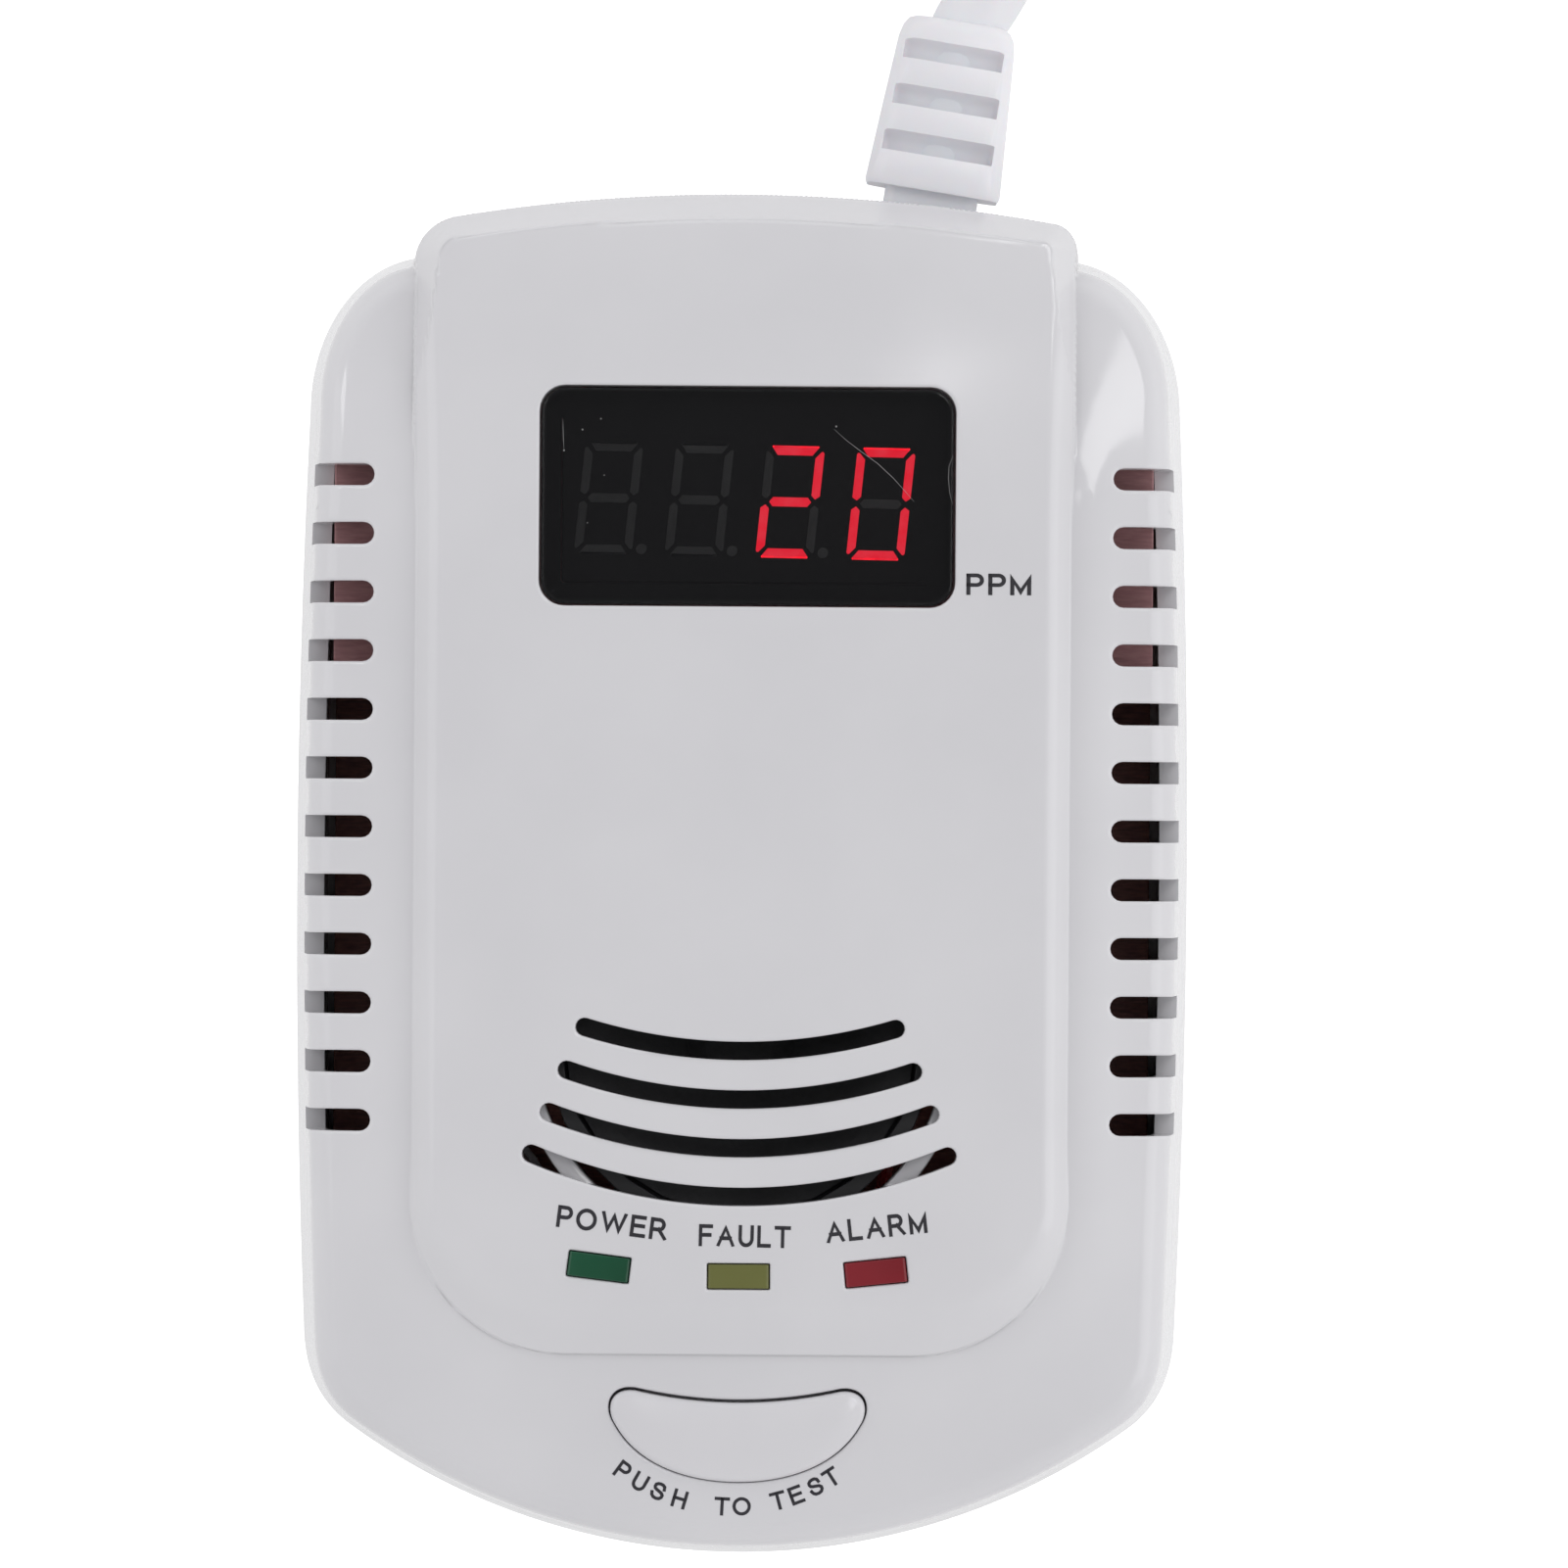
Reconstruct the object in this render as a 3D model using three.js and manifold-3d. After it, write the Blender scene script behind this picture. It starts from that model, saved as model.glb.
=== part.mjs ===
// Carbon monoxide detector with a mains lead, lying on its back.
// Millimetres. The front of the case faces +Z, its top end +Y, and the wall side is the plane z = 0.
// The origin is the middle of the case's back.
import * as THREE from 'three';
import { mergeVertices } from 'three/addons/utils/BufferGeometryUtils.js';
import Module from 'manifold-3d';

const wasm = await Module();
wasm.setup();

// ---------------------------------------------------------------- driving dimensions

const GAP = 0.3;                       // between pieces that rest on each other

const CASE = {
  halfWidth: 37.1,                     // at mid height
  halfWidthAtCorners: 36.25,           // where the bowed sides meet the corners
  cornerY: 38.5,
  top: 56.65,
  bottom: -56.65,
  bottomRadius: 55.4,
  wall: 2,
  split: 11,                           // the joint between the rear and the front case
  depth: 38,
};
const WING = { z: 35, dropStart: 31, dropRadius: 55, shoulderEnd: 50.9, cornerX: 26.4 };
const TONGUE = { halfWidth: 27.4, bottom: -39.7, lowerRadius: 13.5, upperRadius: 5, topRadius: 140 };
const WINDOW = { x: 0.3, y: 31.05, width: 33.8, height: 17.8, radius: 2, face: 37.6 };
const DISPLAY = { width: 30.3, height: 14, back: 26.9, front: 34.7 };
const VENT = { count: 12, first: 32.7, pitch: 4.8, width: 1.8, inner: 30.2, depth: 2.5 };
const SLOT = {
  count: 4, first: -14.2, pitch: 3.97, width: 1.5, radius: 44, halfChord: 12.7, growth: 1.43,
};
const OPENING = { low: 30, high: 40 };  // heights between which the openings in the face are cut
const SPEAKER = { y: -13.3, radius: 15.9, ribRadius: 17.1, ribWall: 1.6, ribTop: 36.1, front: 35.4 };
const LEDS = [
  { name: 'led_power', x: -11.4, y: -31.9, turn: -7, color: 0x1e6e4b },
  { name: 'led_fault', x: 0, y: -32.6, turn: 0, color: 0x787d46 },
  { name: 'led_alarm', x: 11.2, y: -32.2, turn: 6, color: 0x962332 },
];
const LED = { width: 5, height: 2, top: 37.7, base: 29.5, flange: 0.5, lead: 0.6 };
const BUTTON = { x: 0, y: -46, top: 35.5, skirt: 32.7, under: 31.5, travel: 0.5 };
const SWITCH = { size: 6, base: 26.4, top: 29.9, plungerRadius: 1.7, plungerTop: 31.2 };
const BOSS = {
  radius: 3, foot: 4.2, hole: 1.6, recess: 3, recessTop: 5, screwTop: 21.2,
  places: [[29.5, 38.5], [-29.5, 38.5], [27, -41], [-27, -41]],
};
const KEYHOLES = [-20, 20];
const KEYHOLE = { y: 22, head: 4.2, shank: 2.1, rise: 7.5 };
const MAIN_BOARD = { halfWidth: 33.8, top: 46, bottom: -45, z: 14.2, thick: 1.6 };
const BOARD_TOP = MAIN_BOARD.z + MAIN_BOARD.thick + GAP;
const DISPLAY_BOARD = { halfWidth: 33.2, top: 46, bottom: 14.5, z: 25, thick: 1.6 };
const LAMP_BOARD = { halfWidth: 17, top: -30.3, bottom: -49, z: 24.5, thick: 1.6 };
const BOARD_SCREWS = [-25, 25];
const BOARD_POST = { radius: 2.6, hole: 1.2, boardHole: 1.5 };

const BOOT = { x: 15.2, y: 55.7, z: 13, lean: 9.1, length: 15.5, inside: 5 };
const CORD = { radius: 3, sides: 12 };
const COIL = { x: 1.7, y: 124.6, inner: 23.6, outer: 42.3, floor: 0.9, top: 13.3 };
const TIE = { angle: 150, width: 7, thick: 0.6 };
const PLUG = {
  x: 16.5, y: 190, z: 7.15, relief: 20, body: 33, width: 34, thick: 13.7,
  pin: 19, pinRadius: 2, pinGap: 18.6,
};

// The lead's free stretch, from the strain relief down to the table beside its coil.
const LEAD_ROUTE = [
  [19.4, 72.4, 12.95], [20.6, 74.4, 12.9], [22.6, 77.8, 12.7],
  [24.6, 81.3, 12], [26.6, 84.8, 10.9], [27.7, 86.9, 10.1],
];
// From the coil, along the table and up into the plug.
const TAIL_ROUTE = [
  [42.8, 145.6, 7.6], [43.2, 150.5, 6], [43.7, 155, 4.8], [44.1, 160, 3.8],
  [44.2, 165, 3.3], [43, 172.7, 3.1], [39.4, 179.7, 3.3], [33.9, 185.2, 4],
  [26.9, 188.8, 5.2], [21, 190, 6.7], [17.1, 190, 7.15],
];

const COLOR = {
  white: 0xe6e5ea, smoke: 0x0b0b0d, board: 0x5f3832, black: 0x17171a, steel: 0xb9bcc2,
  amber: 0xd9b34a, vinyl: 0xe9e9ee, blue: 0x28467e, brown: 0x6b4a2c, red: 0xa02020,
  glass: 0xd8d8d0, grey: 0x6d6f74,
};

// ---------------------------------------------------------------- solids

function solid(geometry) {
  const bare = new THREE.BufferGeometry();
  bare.setAttribute('position', geometry.getAttribute('position'));
  if (geometry.index) bare.setIndex(geometry.index);
  const merged = mergeVertices(bare, 1e-4);
  return new wasm.Manifold(new wasm.Mesh({
    numProp: 3,
    vertProperties: new Float32Array(merged.getAttribute('position').array),
    triVerts: new Uint32Array(merged.index.array),
  }));
}

function geometryOf(body) {
  const mesh = body.getMesh();
  const geometry = new THREE.BufferGeometry();
  geometry.setAttribute('position', new THREE.BufferAttribute(mesh.vertProperties, 3));
  geometry.setIndex(new THREE.BufferAttribute(mesh.triVerts, 1));
  return geometry;
}

function joined(...bodies) {
  return bodies.reduce((sum, body) => sum.add(body));
}

// ---------------------------------------------------------------- outlines

function points2(shape, divisions) {
  const found = shape.getPoints(divisions)
    .filter((p, i, all) => i === 0 || p.distanceTo(all[i - 1]) > 1e-4);
  if (found[0].distanceTo(found[found.length - 1]) < 1e-4) found.pop();
  return THREE.ShapeUtils.isClockWise(found) ? found.reverse() : found;
}

// Each point moved inwards, square to the outline.
function inset(points, distance) {
  return points.map((p, i) => {
    const before = points[(i + points.length - 1) % points.length];
    const after = points[(i + 1) % points.length];
    const a = p.clone().sub(before).normalize();
    const b = after.clone().sub(p).normalize();
    const normal = new THREE.Vector2(-a.y - b.y, a.x + b.x).normalize();
    const reach = distance / Math.max(0.5, normal.x * -a.y + normal.y * a.x);
    return p.clone().addScaledVector(normal, reach);
  });
}

// The wings' outline: bowed sides, a round bottom and elliptical upper corners.
function wingShape() {
  const { halfWidthAtCorners: x, cornerY: y, bottomRadius: r, bottom } = CASE;
  const bow = 2 * CASE.halfWidth - x;
  const centre = bottom + r;
  const start = Math.asin(32.6 / r);
  const shape = new THREE.Shape();
  shape.moveTo(x, -y);
  shape.quadraticCurveTo(bow, 0, x, y);
  shape.absellipse(WING.cornerX, y, x - WING.cornerX, WING.shoulderEnd - y, 0, Math.PI / 2, false);
  shape.lineTo(-WING.cornerX, WING.shoulderEnd);
  shape.absellipse(
    -WING.cornerX, y, x - WING.cornerX, WING.shoulderEnd - y, Math.PI / 2, Math.PI, false);
  shape.quadraticCurveTo(-bow, 0, -x, -y);
  shape.quadraticCurveTo(-x + 0.3, -43.3, -32.6, centre - r * Math.cos(start));
  shape.absarc(0, centre, r, 1.5 * Math.PI - start, 1.5 * Math.PI + start, false);
  shape.quadraticCurveTo(x - 0.3, -43.3, x, -y);
  return shape;
}

// The raised tongue's outline: straight sides, a U at the bottom and a shallow arc at the top.
function tongueShape() {
  const { halfWidth: x, bottom, lowerRadius: low, upperRadius: high, topRadius: r } = TONGUE;
  const corner = CASE.top - (x - high) ** 2 / (2 * r) - high;
  const shape = new THREE.Shape();
  shape.moveTo(x, bottom + low);
  shape.lineTo(x, corner);
  shape.absarc(x - high, corner, high, 0, 0.45 * Math.PI, false);
  shape.quadraticCurveTo(0, 2 * CASE.top - corner - high, -x + high * 0.84, corner + high * 0.988);
  shape.absarc(-x + high, corner, high, 0.55 * Math.PI, Math.PI, false);
  shape.lineTo(-x, bottom + low);
  shape.absarc(-x + low, bottom + low, low, Math.PI, 1.5 * Math.PI, false);
  shape.absarc(x - low, bottom + low, low, 1.5 * Math.PI, 2 * Math.PI, false);
  return shape;
}

function roundedBox(width, height, radius) {
  const x = width / 2 - radius;
  const y = height / 2 - radius;
  const shape = new THREE.Shape();
  shape.absarc(x, y, radius, 0, Math.PI / 2, false);
  shape.absarc(-x, y, radius, Math.PI / 2, Math.PI, false);
  shape.absarc(-x, -y, radius, Math.PI, 1.5 * Math.PI, false);
  shape.absarc(x, -y, radius, 1.5 * Math.PI, 2 * Math.PI, false);
  shape.closePath();
  return shape;
}

// A smiling bean, grown outwards by extra.
function buttonShape(extra) {
  const shape = new THREE.Shape();
  shape.moveTo(-8.4, -41.95 + extra);
  shape.quadraticCurveTo(0, -43.85 + extra, 8.4, -41.95 + extra);
  shape.bezierCurveTo(10.3 + extra, -41.7 + extra, 11 + extra, -43.3, 9.9 + extra, -44.9);
  shape.bezierCurveTo(8.2 + extra, -47.8 - extra, 4.5, -49.4 - extra, 0, -49.4 - extra);
  shape.bezierCurveTo(-4.5, -49.4 - extra, -8.2 - extra, -47.8 - extra, -9.9 - extra, -44.9);
  shape.bezierCurveTo(-11 - extra, -43.3, -10.3 - extra, -41.7 + extra, -8.4, -41.95 + extra);
  return shape;
}

// One curved speaker slot with round ends.
function slotShape(index) {
  const middle = SLOT.first - index * SLOT.pitch;
  const centre = middle + SLOT.radius;
  const half = Math.asin((SLOT.halfChord + index * SLOT.growth) / SLOT.radius);
  const low = 1.5 * Math.PI;
  const r = SLOT.width / 2;
  const end = (side) => [SLOT.radius * Math.sin(side * half), centre - SLOT.radius * Math.cos(half)];
  const shape = new THREE.Shape();
  shape.absarc(0, centre, SLOT.radius + r, low - half, low + half, false);
  shape.absarc(...end(1), r, low + half, low + half + Math.PI, false);
  shape.absarc(0, centre, SLOT.radius - r, low + half, low - half, true);
  shape.absarc(...end(-1), r, low - half + Math.PI, low - half + 2 * Math.PI, false);
  return shape;
}

// ---------------------------------------------------------------- shapes

// A closed skin through outlines of the same number of points at rising heights.
function loft(outline, levels) {
  const rings = levels.map(([z, distance]) => inset(outline, distance).map((p) => [p.x, p.y, z]));
  return skin(rings, outline);
}

function skin(rings, outline) {
  const count = outline.length;
  const faces = THREE.ShapeUtils.triangulateShape(outline, []);
  const index = [];
  for (let k = 0; k < rings.length - 1; k += 1) {
    for (let i = 0; i < count; i += 1) {
      const a = k * count + i;
      const b = k * count + ((i + 1) % count);
      index.push(a, b, b + count, a, b + count, a + count);
    }
  }
  const last = (rings.length - 1) * count;
  for (const [a, b, c] of faces) {
    index.push(a, c, b);
    index.push(last + a, last + b, last + c);
  }
  const geometry = new THREE.BufferGeometry();
  geometry.setAttribute('position', new THREE.Float32BufferAttribute(rings.flat(2), 3));
  geometry.setIndex(index);
  return solid(geometry);
}

function prism(shape, low, high, divisions = 6) {
  const geometry = new THREE.ExtrudeGeometry(shape, {
    depth: high - low, bevelEnabled: false, curveSegments: divisions,
  });
  geometry.translate(0, 0, low);
  return solid(geometry);
}

function box(x, y, low, width, height, high) {
  const geometry = new THREE.BoxGeometry(width, height, high - low);
  geometry.translate(x, y, (low + high) / 2);
  return solid(geometry);
}

function post(x, y, low, high, radius, sides = 20) {
  const geometry = new THREE.CylinderGeometry(radius, radius, high - low, sides);
  geometry.rotateX(Math.PI / 2);
  geometry.translate(x, y, (low + high) / 2);
  return solid(geometry);
}

// A turned piece: profile of [radius, height] pairs round the Z axis.
function turned(profile, x = 0, y = 0, sides = 32) {
  const geometry = new THREE.LatheGeometry(profile.map(([r, z]) => new THREE.Vector2(r, z)), sides);
  geometry.rotateX(Math.PI / 2);
  geometry.translate(x, y, 0);
  const body = solid(geometry);
  return body.volume() > 0 ? body : solid(flipped(geometry));
}

function flipped(geometry) {
  const index = geometry.index.array;
  for (let i = 0; i < index.length; i += 3) {
    [index[i], index[i + 1]] = [index[i + 1], index[i]];
  }
  return geometry;
}

function tube(route, radius, sides, steps) {
  const section = new THREE.Shape();
  section.absarc(0, 0, radius, 0, 2 * Math.PI, false);
  const points = route.map((p) => new THREE.Vector3(...p));
  const path = new THREE.CatmullRomCurve3(points, false, 'centripetal');
  return solid(new THREE.ExtrudeGeometry(section, {
    steps, bevelEnabled: false, extrudePath: path, curveSegments: sides,
  }));
}

// The Y, Z region under the wings' surface, which falls away towards the top end.
function underWings(lower) {
  const shape = new THREE.Shape();
  shape.moveTo(-60, 0);
  shape.lineTo(60, 0);
  for (let y = 60; y > WING.dropStart; y -= 3) {
    shape.lineTo(y, wingHeight(y) - lower);
  }
  shape.lineTo(WING.dropStart, WING.z - lower);
  shape.lineTo(-60, WING.z - lower);
  const geometry = new THREE.ExtrudeGeometry(shape, { depth: 90, bevelEnabled: false });
  geometry.translate(0, 0, -45);
  geometry.rotateX(Math.PI / 2);
  geometry.rotateZ(Math.PI / 2);
  return solid(geometry);
}

function wingHeight(y) {
  return WING.z - Math.max(0, y - WING.dropStart) ** 2 / (2 * WING.dropRadius);
}

// ---------------------------------------------------------------- the case

const wings = points2(wingShape(), 8);
const tongue = points2(tongueShape(), 8);

function frontCase() {
  const { split, wall } = CASE;
  const from = split + GAP;
  const shell = joined(
    loft(wings, [[from, 0], [32.4, 1.6], [34, 2], [34.7, 2.7], [WING.z, 3.9]]).intersect(underWings(0)),
    loft(tongue, [[from, 0], [34.2, 0.5], [36.8, 1.9], [37.6, 2.6], [CASE.depth, 3.9]]),
  );
  const hollow = joined(
    loft(wings, [[from - 1, wall], [32.4, 1.6 + wall], [WING.z - wall, 4.6]]).intersect(underWings(wall)),
    loft(tongue, [[from - 1, wall + 0.1], [34.2, 2.7], [35.4, 3.4], [CASE.depth - wall, 4.6]]),
  );
  const { y: ribY, ribRadius, ribWall, ribTop } = SPEAKER;
  const rib = post(0, ribY, OPENING.low, ribTop, ribRadius + ribWall / 2, 40)
    .subtract(post(0, ribY, OPENING.low - 1, ribTop + 1, ribRadius - ribWall / 2, 40));
  let body = shell.subtract(hollow);
  for (const cutter of [...ventCutters(), ...slotCutters(), ...ledCutters()]) {
    body = body.subtract(cutter);
  }
  const buttonHole = prism(buttonShape(0.25), OPENING.low, OPENING.high, 8);
  body = body.subtract(buttonHole).subtract(windowCutter()).add(rib);
  for (const [x, y] of BOSS.places) {
    body = body.add(post(x, y, from, wingHeight(y) - 1, BOSS.radius));
    body = body.subtract(post(x, y, split - 1, 22, BOSS.hole, 12));
  }
  return body.subtract(bootPassage());
}

function ventCutters() {
  const cutters = [];
  for (const side of [-1, 1]) {
    for (let i = 0; i < VENT.count; i += 1) {
      const y = VENT.first - i * VENT.pitch;
      const r = VENT.width / 2;
      const middle = VENT.inner + r;
      const low = wingHeight(y) - VENT.depth;
      const slot = box(side * (middle + 6), y, low, 12, VENT.width, OPENING.high);
      cutters.push(slot.add(post(side * middle, y, low, OPENING.high, r, 12)));
    }
  }
  return cutters;
}

function slotCutters() {
  const { low, high } = OPENING;
  return Array.from({ length: SLOT.count }, (_, i) => prism(slotShape(i), low, high, 8));
}

function ledCutters() {
  const { low, high } = OPENING;
  return LEDS.map((led) => turnedBox(led, LED.width + 0.2, LED.height + 0.2, low, high));
}

function turnedBox(led, width, height, low, high) {
  return box(0, 0, low, width, height, high).rotate([0, 0, led.turn]).translate([led.x, led.y, 0]);
}

function windowCutter() {
  const { width, height, radius, x, y } = WINDOW;
  const outline = roundedBox(width + 0.2, height + 0.2, radius);
  return prism(outline, OPENING.low, OPENING.high).translate([x, y, 0]);
}

// Where the neck of the strain relief goes through the top wall.
function bootPassage() {
  return leaned(box(0, 0, -3.65, 8.4, 8, 3.65));
}

function leaned(body) {
  return body.rotate([0, 0, -BOOT.lean]).translate([BOOT.x, BOOT.y, BOOT.z]);
}

function rearCase() {
  const { split, wall } = CASE;
  const outer = [[0, 1.4], [1, 0.5], [split, 0.3]];
  const inner = [[2.4, wall + 0.3], [split + 1, wall + 0.3]];
  let body = joined(loft(wings, outer), loft(tongue, outer))
    .subtract(joined(loft(wings, inner), loft(tongue, inner)));
  for (const [x, y] of BOSS.places) {
    body = body.add(post(x, y, 1, split, BOSS.foot))
      .subtract(post(x, y, -1, BOSS.recessTop, BOSS.recess))
      .subtract(post(x, y, BOSS.recessTop - 1, split + 1, BOSS.hole, 12));
  }
  for (const x of BOARD_SCREWS) {
    body = body.add(post(x, 0, 1, MAIN_BOARD.z - GAP, BOARD_POST.radius))
      .subtract(post(x, 0, 6, 15, BOARD_POST.hole, 12));
  }
  for (const x of KEYHOLES) {
    body = body.subtract(post(x, KEYHOLE.y, -1, 4, KEYHOLE.head, 24));
    body = body.subtract(box(x, KEYHOLE.y + KEYHOLE.rise / 2, -1, 2 * KEYHOLE.shank, KEYHOLE.rise, 4));
    body = body.subtract(post(x, KEYHOLE.y + KEYHOLE.rise, -1, 4, KEYHOLE.shank, 16));
  }
  return body.subtract(bootPassage());
}

function caseScrew(x, y) {
  const { screwTop } = BOSS;
  return turned([
    [0, 3.2], [2.5, 3.2], [2.6, 4.7], [1.3, 4.7], [1.3, screwTop - 1.2], [0.4, screwTop], [0, screwTop],
  ], x, y, 16);
}

// ---------------------------------------------------------------- display, lamps and button

function displayWindow() {
  const { width, height, radius, x, y, face } = WINDOW;
  const pane = prism(roundedBox(width - 0.2, height - 0.2, radius - 0.1), 35, face);
  return pane.add(box(0, 0, 35, width + 2.4, height + 2.4, 35.7)).translate([x, y, 0]);
}

function displayModule() {
  const { width, height, back, front } = DISPLAY;
  return box(WINDOW.x, WINDOW.y, back, width, height, front);
}

function indicator(led) {
  const body = turnedBox(led, LED.width, LED.height, LED.base, LED.top);
  const flange = turnedBox(led, LED.width + 1, LED.height + 1, LED.base, LED.base + LED.flange);
  const foot = LAMP_BOARD.z + LAMP_BOARD.thick + GAP;
  const lead = (x) => turnedBox({ ...led, x: led.x + x }, LED.lead, LED.lead, foot, LED.base + 0.2);
  return joined(body, flange, lead(-1.27), lead(1.27));
}

function testButton() {
  const outline = points2(buttonShape(0), 8);
  const cap = loft(outline, [[BUTTON.under, 0], [34.9, 0], [35.3, 0.25], [BUTTON.top, 0.8]]);
  const skirt = prism(buttonShape(0.9), BUTTON.under, BUTTON.skirt, 8);
  return cap.add(skirt);
}

function switchBody() {
  const { size, base, top, plungerRadius } = SWITCH;
  return box(BUTTON.x, BUTTON.y, base, size, size, top)
    .subtract(post(BUTTON.x, BUTTON.y, 27.3, 31, plungerRadius + 0.3));
}

function switchPlunger() {
  return post(BUTTON.x, BUTTON.y, 28.1, SWITCH.plungerTop, SWITCH.plungerRadius);
}

// ---------------------------------------------------------------- boards and what is on them

function mainBoard() {
  const { halfWidth, top, bottom, z, thick } = MAIN_BOARD;
  let board = box(0, (top + bottom) / 2, z, 2 * halfWidth, top - bottom, z + thick);
  for (const [x, y] of BOSS.places) {
    board = board.subtract(cornerNotch(x, y, z));
  }
  for (const x of BOARD_SCREWS) {
    board = board.subtract(post(x, 0, z - 1, z + 3, BOARD_POST.boardHole, 16));
  }
  return board;
}

function displayBoard() {
  const { halfWidth, top, bottom, z, thick } = DISPLAY_BOARD;
  let board = box(0, (top + bottom) / 2, z, 2 * halfWidth, top - bottom, z + thick);
  for (const [x, y] of BOSS.places) {
    board = board.subtract(cornerNotch(x, y, z));
  }
  return board;
}

// Room for a screw boss, from beside it out past the board's corner.
function cornerNotch(x, y, z) {
  const reach = 8 - BOSS.radius - 0.5;
  return box(x + Math.sign(x) * reach, y + Math.sign(y) * reach, z - 1, 16, 16, z + 3);
}

function lampBoard() {
  const { halfWidth, top, bottom, z, thick } = LAMP_BOARD;
  return box(0, (top + bottom) / 2, z, 2 * halfWidth, top - bottom, z + thick);
}

function boardScrew(x) {
  const z = BOARD_TOP;
  return turned([[0, 8], [0.9, 8], [0.9, z], [2.2, z], [2, z + 1.4], [0, z + 1.6]], x, 0, 16);
}

function speakerFrame() {
  const r = SPEAKER.radius;
  const z = SPEAKER.front;
  return turned([
    [r, z], [14.6, z], [14.6, z - 0.8], [9.6, z - 5], [9.6, z - 6], [10.8, z - 6], [r, z - 1.8], [r, z],
  ], 0, SPEAKER.y, 28);
}

function speakerCone() {
  const z = SPEAKER.front - 0.4;
  return turned([
    [0, z - 2], [3, z - 2.4], [4.4, z - 3.6], [9, z - 2.2], [12.4, z - 0.5], [14.3, z - 0.2],
    [14.3, z - 0.5], [12.6, z - 1], [9, z - 2.8], [4.4, z - 4.3], [2.8, z - 3.2], [0, z - 2.9],
  ], 0, SPEAKER.y, 28);
}

function speakerMagnet() {
  const z = SPEAKER.front - 6.3;
  return turned([[0, z], [9, z], [9, z - 4.6], [8.6, z - 5], [0, z - 5]], 0, SPEAKER.y, 32);
}

function gasSensor() {
  const z = BOARD_TOP;
  return turned([
    [0, z], [6.2, z], [6.2, z + 1.2], [5.6, z + 1.2], [5.6, z + 7.8], [5, z + 8.4], [0, z + 8.4],
  ], -22, -27, 32);
}

function capacitor(x, y, radius, height) {
  const z = BOARD_TOP;
  return turned([
    [0, z], [radius - 0.3, z], [radius, z + 0.3], [radius - 0.35, z + 1.1], [radius, z + 1.9],
    [radius, z + height - 0.4], [radius - 0.4, z + height], [0, z + height],
  ], x, y, 24);
}

function transformer() {
  const z = BOARD_TOP;
  const bobbin = box(10, 26, z, 15, 12, z + 1.2).add(box(10, 26, z + 1, 13, 10, z + 7.4));
  return bobbin.add(box(10, 26, z + 2.2, 6, 14, z + 6.2));
}

function fuse() {
  const geometry = new THREE.CylinderGeometry(2.5, 2.5, 14, 16);
  geometry.translate(27, 22, BOARD_TOP + 2.5);
  return solid(geometry);
}

function varistor() {
  const geometry = new THREE.CylinderGeometry(4, 4, 3, 20);
  geometry.translate(24, 34.3, BOARD_TOP + 4.6);
  return solid(geometry).add(box(24, 34.3, BOARD_TOP, 5, 0.7, BOARD_TOP + 3));
}

function chip(x, y, width, height, thick) {
  return box(x, y, BOARD_TOP + 0.3, width, height, BOARD_TOP + thick).add(
    box(x, y, BOARD_TOP, width - 1, height + 2.6, BOARD_TOP + 0.4));
}

function header(x, y, width, low, high) {
  return box(x, y, low, width, 2.5, high);
}

// ---------------------------------------------------------------- leads

const leads = {
  mains_lead_live: {
    color: COLOR.brown,
    radius: 1,
    route: [[13, 49.6, 14.2], [13, 47.8, 17.4], [16, 44.5, 19.2], [18.5, 41.5, 18.3], [19, 40, 16.8]],
  },
  mains_lead_neutral: {
    color: COLOR.blue,
    radius: 1,
    route: [[16, 49.2, 12.4], [17, 47.9, 14.8], [20, 47.6, 18.6], [21.6, 44, 19], [22, 41.5, 17]],
  },
  speaker_lead_red: {
    color: COLOR.red,
    radius: 0.6,
    route: [[5, -24.7, 28.6], [8, -27.5, 26.5], [11, -28, 21.5], [12, -25, 18], [12.5, -21, 16.8]],
  },
  speaker_lead_black: {
    color: COLOR.black,
    radius: 0.6,
    route: [[-5, -24.7, 28.6], [-8, -27.5, 26.5], [-11, -28, 21.5], [-9, -25, 18], [-7, -21, 16.8]],
  },
};

// The strain relief: a tapered ladder with a round core, a neck in the wall and a flange behind it.
function strainRelief() {
  const { length, inside } = BOOT;
  const section = (width, height, radius, y) =>
    points2(roundedBox(width, height, radius), 4).map((p) => [p.x, y, -p.y]);
  const outline = points2(roundedBox(11.2, 10, 1.8), 4);
  const ladder = skin([
    section(11.3, 10, 1.8, 1.6), section(9.7, 8.8, 1.8, length - 1.2), section(8.2, 7.6, 1.8, length),
  ], outline);
  const core = new THREE.CylinderGeometry(3.7, 3.7, length, 24);
  core.translate(0, length / 2, 0);
  let grooves = null;
  for (const y of [4.9, 8.8, 12.7]) {
    for (const side of [-1, 1]) {
      const groove = box(0, y, side > 0 ? 2.9 : -9, 9.4 - y * 0.1, 1.3, side > 0 ? 9 : -2.9);
      grooves = grooves ? grooves.add(groove) : groove;
    }
  }
  const neck = box(0, 0, -3.3, 7.8, 6, 3.3);
  const flange = box(0, -inside + 1, -4.6, 11.4, 2, 4.6);
  const body = ladder.subtract(grooves.subtract(solid(core)));
  return leaned(joined(body, neck, flange));
}

function coil() {
  const { inner, outer, floor, top } = COIL;
  const soft = 2.4;
  return turned([
    [inner + soft, floor], [outer - soft, floor], [outer, floor + soft], [outer, top - soft],
    [outer - soft, top], [inner + soft, top], [inner, top - soft], [inner, floor + soft],
    [inner + soft, floor],
  ], COIL.x, COIL.y, 40);
}

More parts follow.
